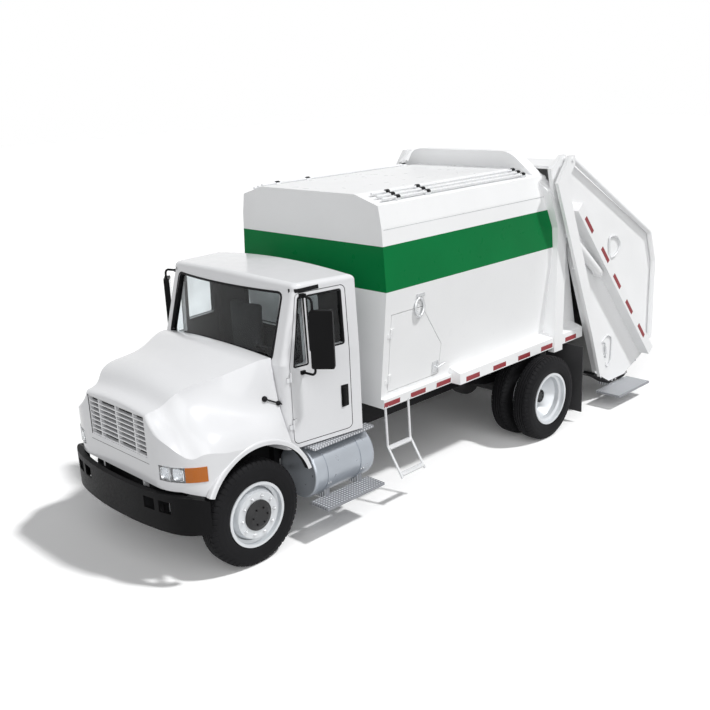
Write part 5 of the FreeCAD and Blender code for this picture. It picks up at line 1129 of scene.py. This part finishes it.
def make_tailgate_fittings():
    """Ring, hook rod and turnbuckle on each side of the gate, and the bolts along its sill."""
    sides = surface_of("tailgate_sides")
    sills = surface_of("tailgate_sills", "tailgate_sides")
    for side, label in SIDES:
        kit = Kit()
        ring = arc_path(lifted_from_gate(sides, side, GATE_RING, GATE_RING_RISE), 0.06, closed=True)
        kit.tube(spread(ring, LOOP_GAP, closed=True), GATE_RING_BAR, closed=True)
        kit.piece("gate_ring_" + label, "tailgate", "ladder", "body_white")
        kit = Kit()
        kit.tube(arc_path(lifted_from_gate(sides, side, HOOK_ROD, HOOK_ROD_RISE), 0.05), HOOK_ROD_RADIUS)
        for foot in HOOK_ROD_FEET:
            spot, normal = on_gate(sides, side, foot)
            kit.lathe(HOOK_FOOT_PROFILE, spot, normal, 20)
        kit.piece("gate_hook_rod_" + label, "tailgate", "ladder", "body_white")
        kit = Kit()
        make_turnbuckle(kit, *on_gate(sides, side, TURNBUCKLE))
        kit.piece("gate_turnbuckle_" + label, "tailgate", "steel")
        kit = Kit()
        places = [(at(station), z) for station, z in SILL_BOLTS]
        kit.side_bolts(sills, side, places, SILL_BOLT, start=GATE_RAY_X)
        kit.piece("sill_bolts_" + label, "tailgate", "steel")


REAR_RAY_Y = 4.4
PLATE_Z = 0.620
PLATE_LOW = Vector((-0.165, -0.002, -0.060))
PLATE_HIGH = Vector((0.165, 0.004, 0.060))
LAMP_INNER_X = 0.955
LAMP_RIM_RADIUS = 0.004


def make_tail_details():
    """Blank plate and lamp rims at the rear."""
    sill = surface_of("hopper", "tailgate_sides", "tail_lamps")
    spot = touch(sill, (0.0, REAR_RAY_Y, PLATE_Z), (0, -1, 0))[0]
    kit = Kit()
    kit.block(spot + PLATE_LOW, spot + PLATE_HIGH, 0.003)
    kit.piece("blank_plate", "tailgate", "ladder")
    kit = Kit()
    low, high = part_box("tail_lamps")
    for side in (1, -1):
        x0, x1 = sorted((side * LAMP_INNER_X, side * high.x))
        rim = [(x0, high.y, low.z), (x1, high.y, low.z), (x1, high.y, high.z), (x0, high.y, high.z)]
        path = spread(arc_path(rim, 0.012, closed=True), 0.05, closed=True)
        kit.tube(path, LAMP_RIM_RADIUS, closed=True, sides=8)
    kit.piece("tail_lamp_rims", "tailgate", "seal")


TANK_X = 0.775
TANK_Z = 0.622
TANK_RADIUS = 0.262
TANK_START = 0.640
TANK_LENGTH = 0.760
TANK_STRAP_SHARES = (0.22, 0.78)
STRAP_BOLT_OFFSET = 0.014
STRAP_BOLT_Z = 0.520
CAP_ANGLE = math.radians(48)
CAP_STATION = 1.160
CAP_PROFILE = ((-0.006, 0.046), (0.010, 0.046), (0.012, 0.052), (0.034, 0.052), (0.040, 0.044))


def make_tank_details():
    """Filler cap of the right tank and strap bolts of both."""
    kit = Kit()
    way = Vector((-math.cos(CAP_ANGLE), 0, math.sin(CAP_ANGLE)))
    kit.lathe(CAP_PROFILE, Vector((-TANK_X, at(CAP_STATION), TANK_Z)) + way * TANK_RADIUS, way, 32)
    kit.piece("tank_caps", "chassis", "steel", "tank_aluminium")
    tanks = surface_of("fuel_tanks")
    kit = Kit()
    straps = [TANK_START + TANK_LENGTH * share for share in TANK_STRAP_SHARES]
    offsets = (-STRAP_BOLT_OFFSET, STRAP_BOLT_OFFSET)
    places = [(at(strap) + offset, STRAP_BOLT_Z) for strap in straps for offset in offsets]
    for side in (1, -1):
        kit.side_bolts(tanks, side, places, SMALL_BOLT)
    kit.piece("strap_bolts", "chassis", "steel")


# Seats

CLOTH_FRAMES = 20
CLOTH_CAP = 0.024
CLOTH_VOXEL = 0.006
CUSHION_SHRINK = 0.014
CUSHION_ROUND_SHARE = 0.38
SEAT_XS = (0.19, 0.67)
# Low and high (y, z) of each part of a seat.
CUSHION_ENDS = ((at(0.790), 1.210), (at(1.175), 1.360))
BACK_ENDS = ((at(1.045), 1.345), (at(1.175), 1.990))
PEDESTAL_ENDS = ((at(0.840), 0.988), (at(1.150), 1.205))
PAN_ENDS = ((at(0.810), 1.196), (at(1.170), 1.222))
PEDESTAL_INSET = 0.06
PAN_INSET = 0.02


def carry_out(made):
    """Give the object a mesh with its modifiers carried out."""
    graph = bpy.context.evaluated_depsgraph_get()
    mesh = bpy.data.meshes.new_from_object(made.evaluated_get(graph))
    made.modifiers.clear()
    made.data = mesh


def evened(made, size):
    """Give the object an even mesh without modifiers."""
    remesh = made.modifiers.new("even_mesh", "REMESH")
    remesh.mode = "VOXEL"
    remesh.voxel_size = size
    carry_out(made)


def press_out(made):
    """Swell the form with a short cloth pass, and keep each point near its place."""
    places = [vertex.co.copy() for vertex in made.data.vertices]
    cloth = made.modifiers.new("press_out", "CLOTH")
    cloth.settings.quality = 4
    cloth.settings.use_pressure = True
    cloth.settings.uniform_pressure_force = 4.0
    cloth.settings.effector_weights.gravity = 0.0
    cloth.settings.tension_stiffness = 40.0
    cloth.settings.compression_stiffness = 40.0
    cloth.settings.shear_stiffness = 20.0
    cloth.point_cache.frame_start = 1
    cloth.point_cache.frame_end = CLOTH_FRAMES
    for number in range(1, CLOTH_FRAMES + 1):
        bpy.context.scene.frame_set(number)
    carry_out(made)
    for vertex, place in zip(made.data.vertices, places):
        moved = vertex.co - place
        if moved.length > CLOTH_CAP:
            vertex.co = place + moved.normalized() * CLOTH_CAP
    bpy.context.scene.frame_set(1)


def cushion(name, low, high, body):
    """Padded block: a crowned closed form, pressed out a little by a short cloth pass."""
    inset = Vector((CUSHION_SHRINK,) * 3)
    low, high = Vector(low) + inset, Vector(high) - inset
    mesh = bmesh.new()
    add_box(mesh, low, high)
    reach = CUSHION_ROUND_SHARE * min(high[i] - low[i] for i in range(3))
    bmesh.ops.bevel(mesh, geom=mesh.edges[:], offset=reach, segments=5, profile=0.5, affect="EDGES")
    data = bpy.data.meshes.new(name)
    mesh.to_mesh(data)
    mesh.free()
    made = add_object(name, data)
    evened(made, CLOTH_VOXEL)
    press_out(made)
    made.data.materials.clear()
    made.data.materials.append(LOOK["cloth"])
    made.data.shade_smooth()
    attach(made, body)
    return made


def seat_ends(xs, ends, inset=0.0):
    """Low and high corners of a part of a seat."""
    low, high = ends
    return (xs[0] + inset, *low), (xs[1] - inset, *high)


def make_seats():
    """Two cushioned seats on their pedestals."""
    for side, label in SIDES:
        xs = sorted(side * x for x in SEAT_XS)
        cushion("seat_cushion_" + label, *seat_ends(xs, CUSHION_ENDS), "chassis")
        cushion("seat_back_" + label, *seat_ends(xs, BACK_ENDS), "chassis")
        kit = Kit()
        kit.block(*seat_ends(xs, PEDESTAL_ENDS, PEDESTAL_INSET), 0.02)
        kit.block(*seat_ends(xs, PAN_ENDS, PAN_INSET), 0.008)
        kit.piece("seat_base_" + label, "chassis", "trim")
    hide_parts("seats")


# The scene

make_camera()
make_world()
make_lamps()
make_floor()
LOOK = make_materials()
dress_nodes()
make_tyres()
make_wheel_nuts()
make_window_seals()
make_door_handles()
make_eave_panels()
make_mirror_glass()
make_hood_latches()
make_hood_details()
make_headlamps()
make_red_marks()
make_pipe_clamps()
make_side_door_latch()
make_tie_loops()
make_strip_rivets()
make_ladder_details()
make_fold_seams()
make_step_edges()
make_tailgate_fittings()
make_tail_details()
make_tank_details()
make_seats()

bpy.context.scene.view_settings.view_transform = "Standard"

bpy.context.view_layer.update()
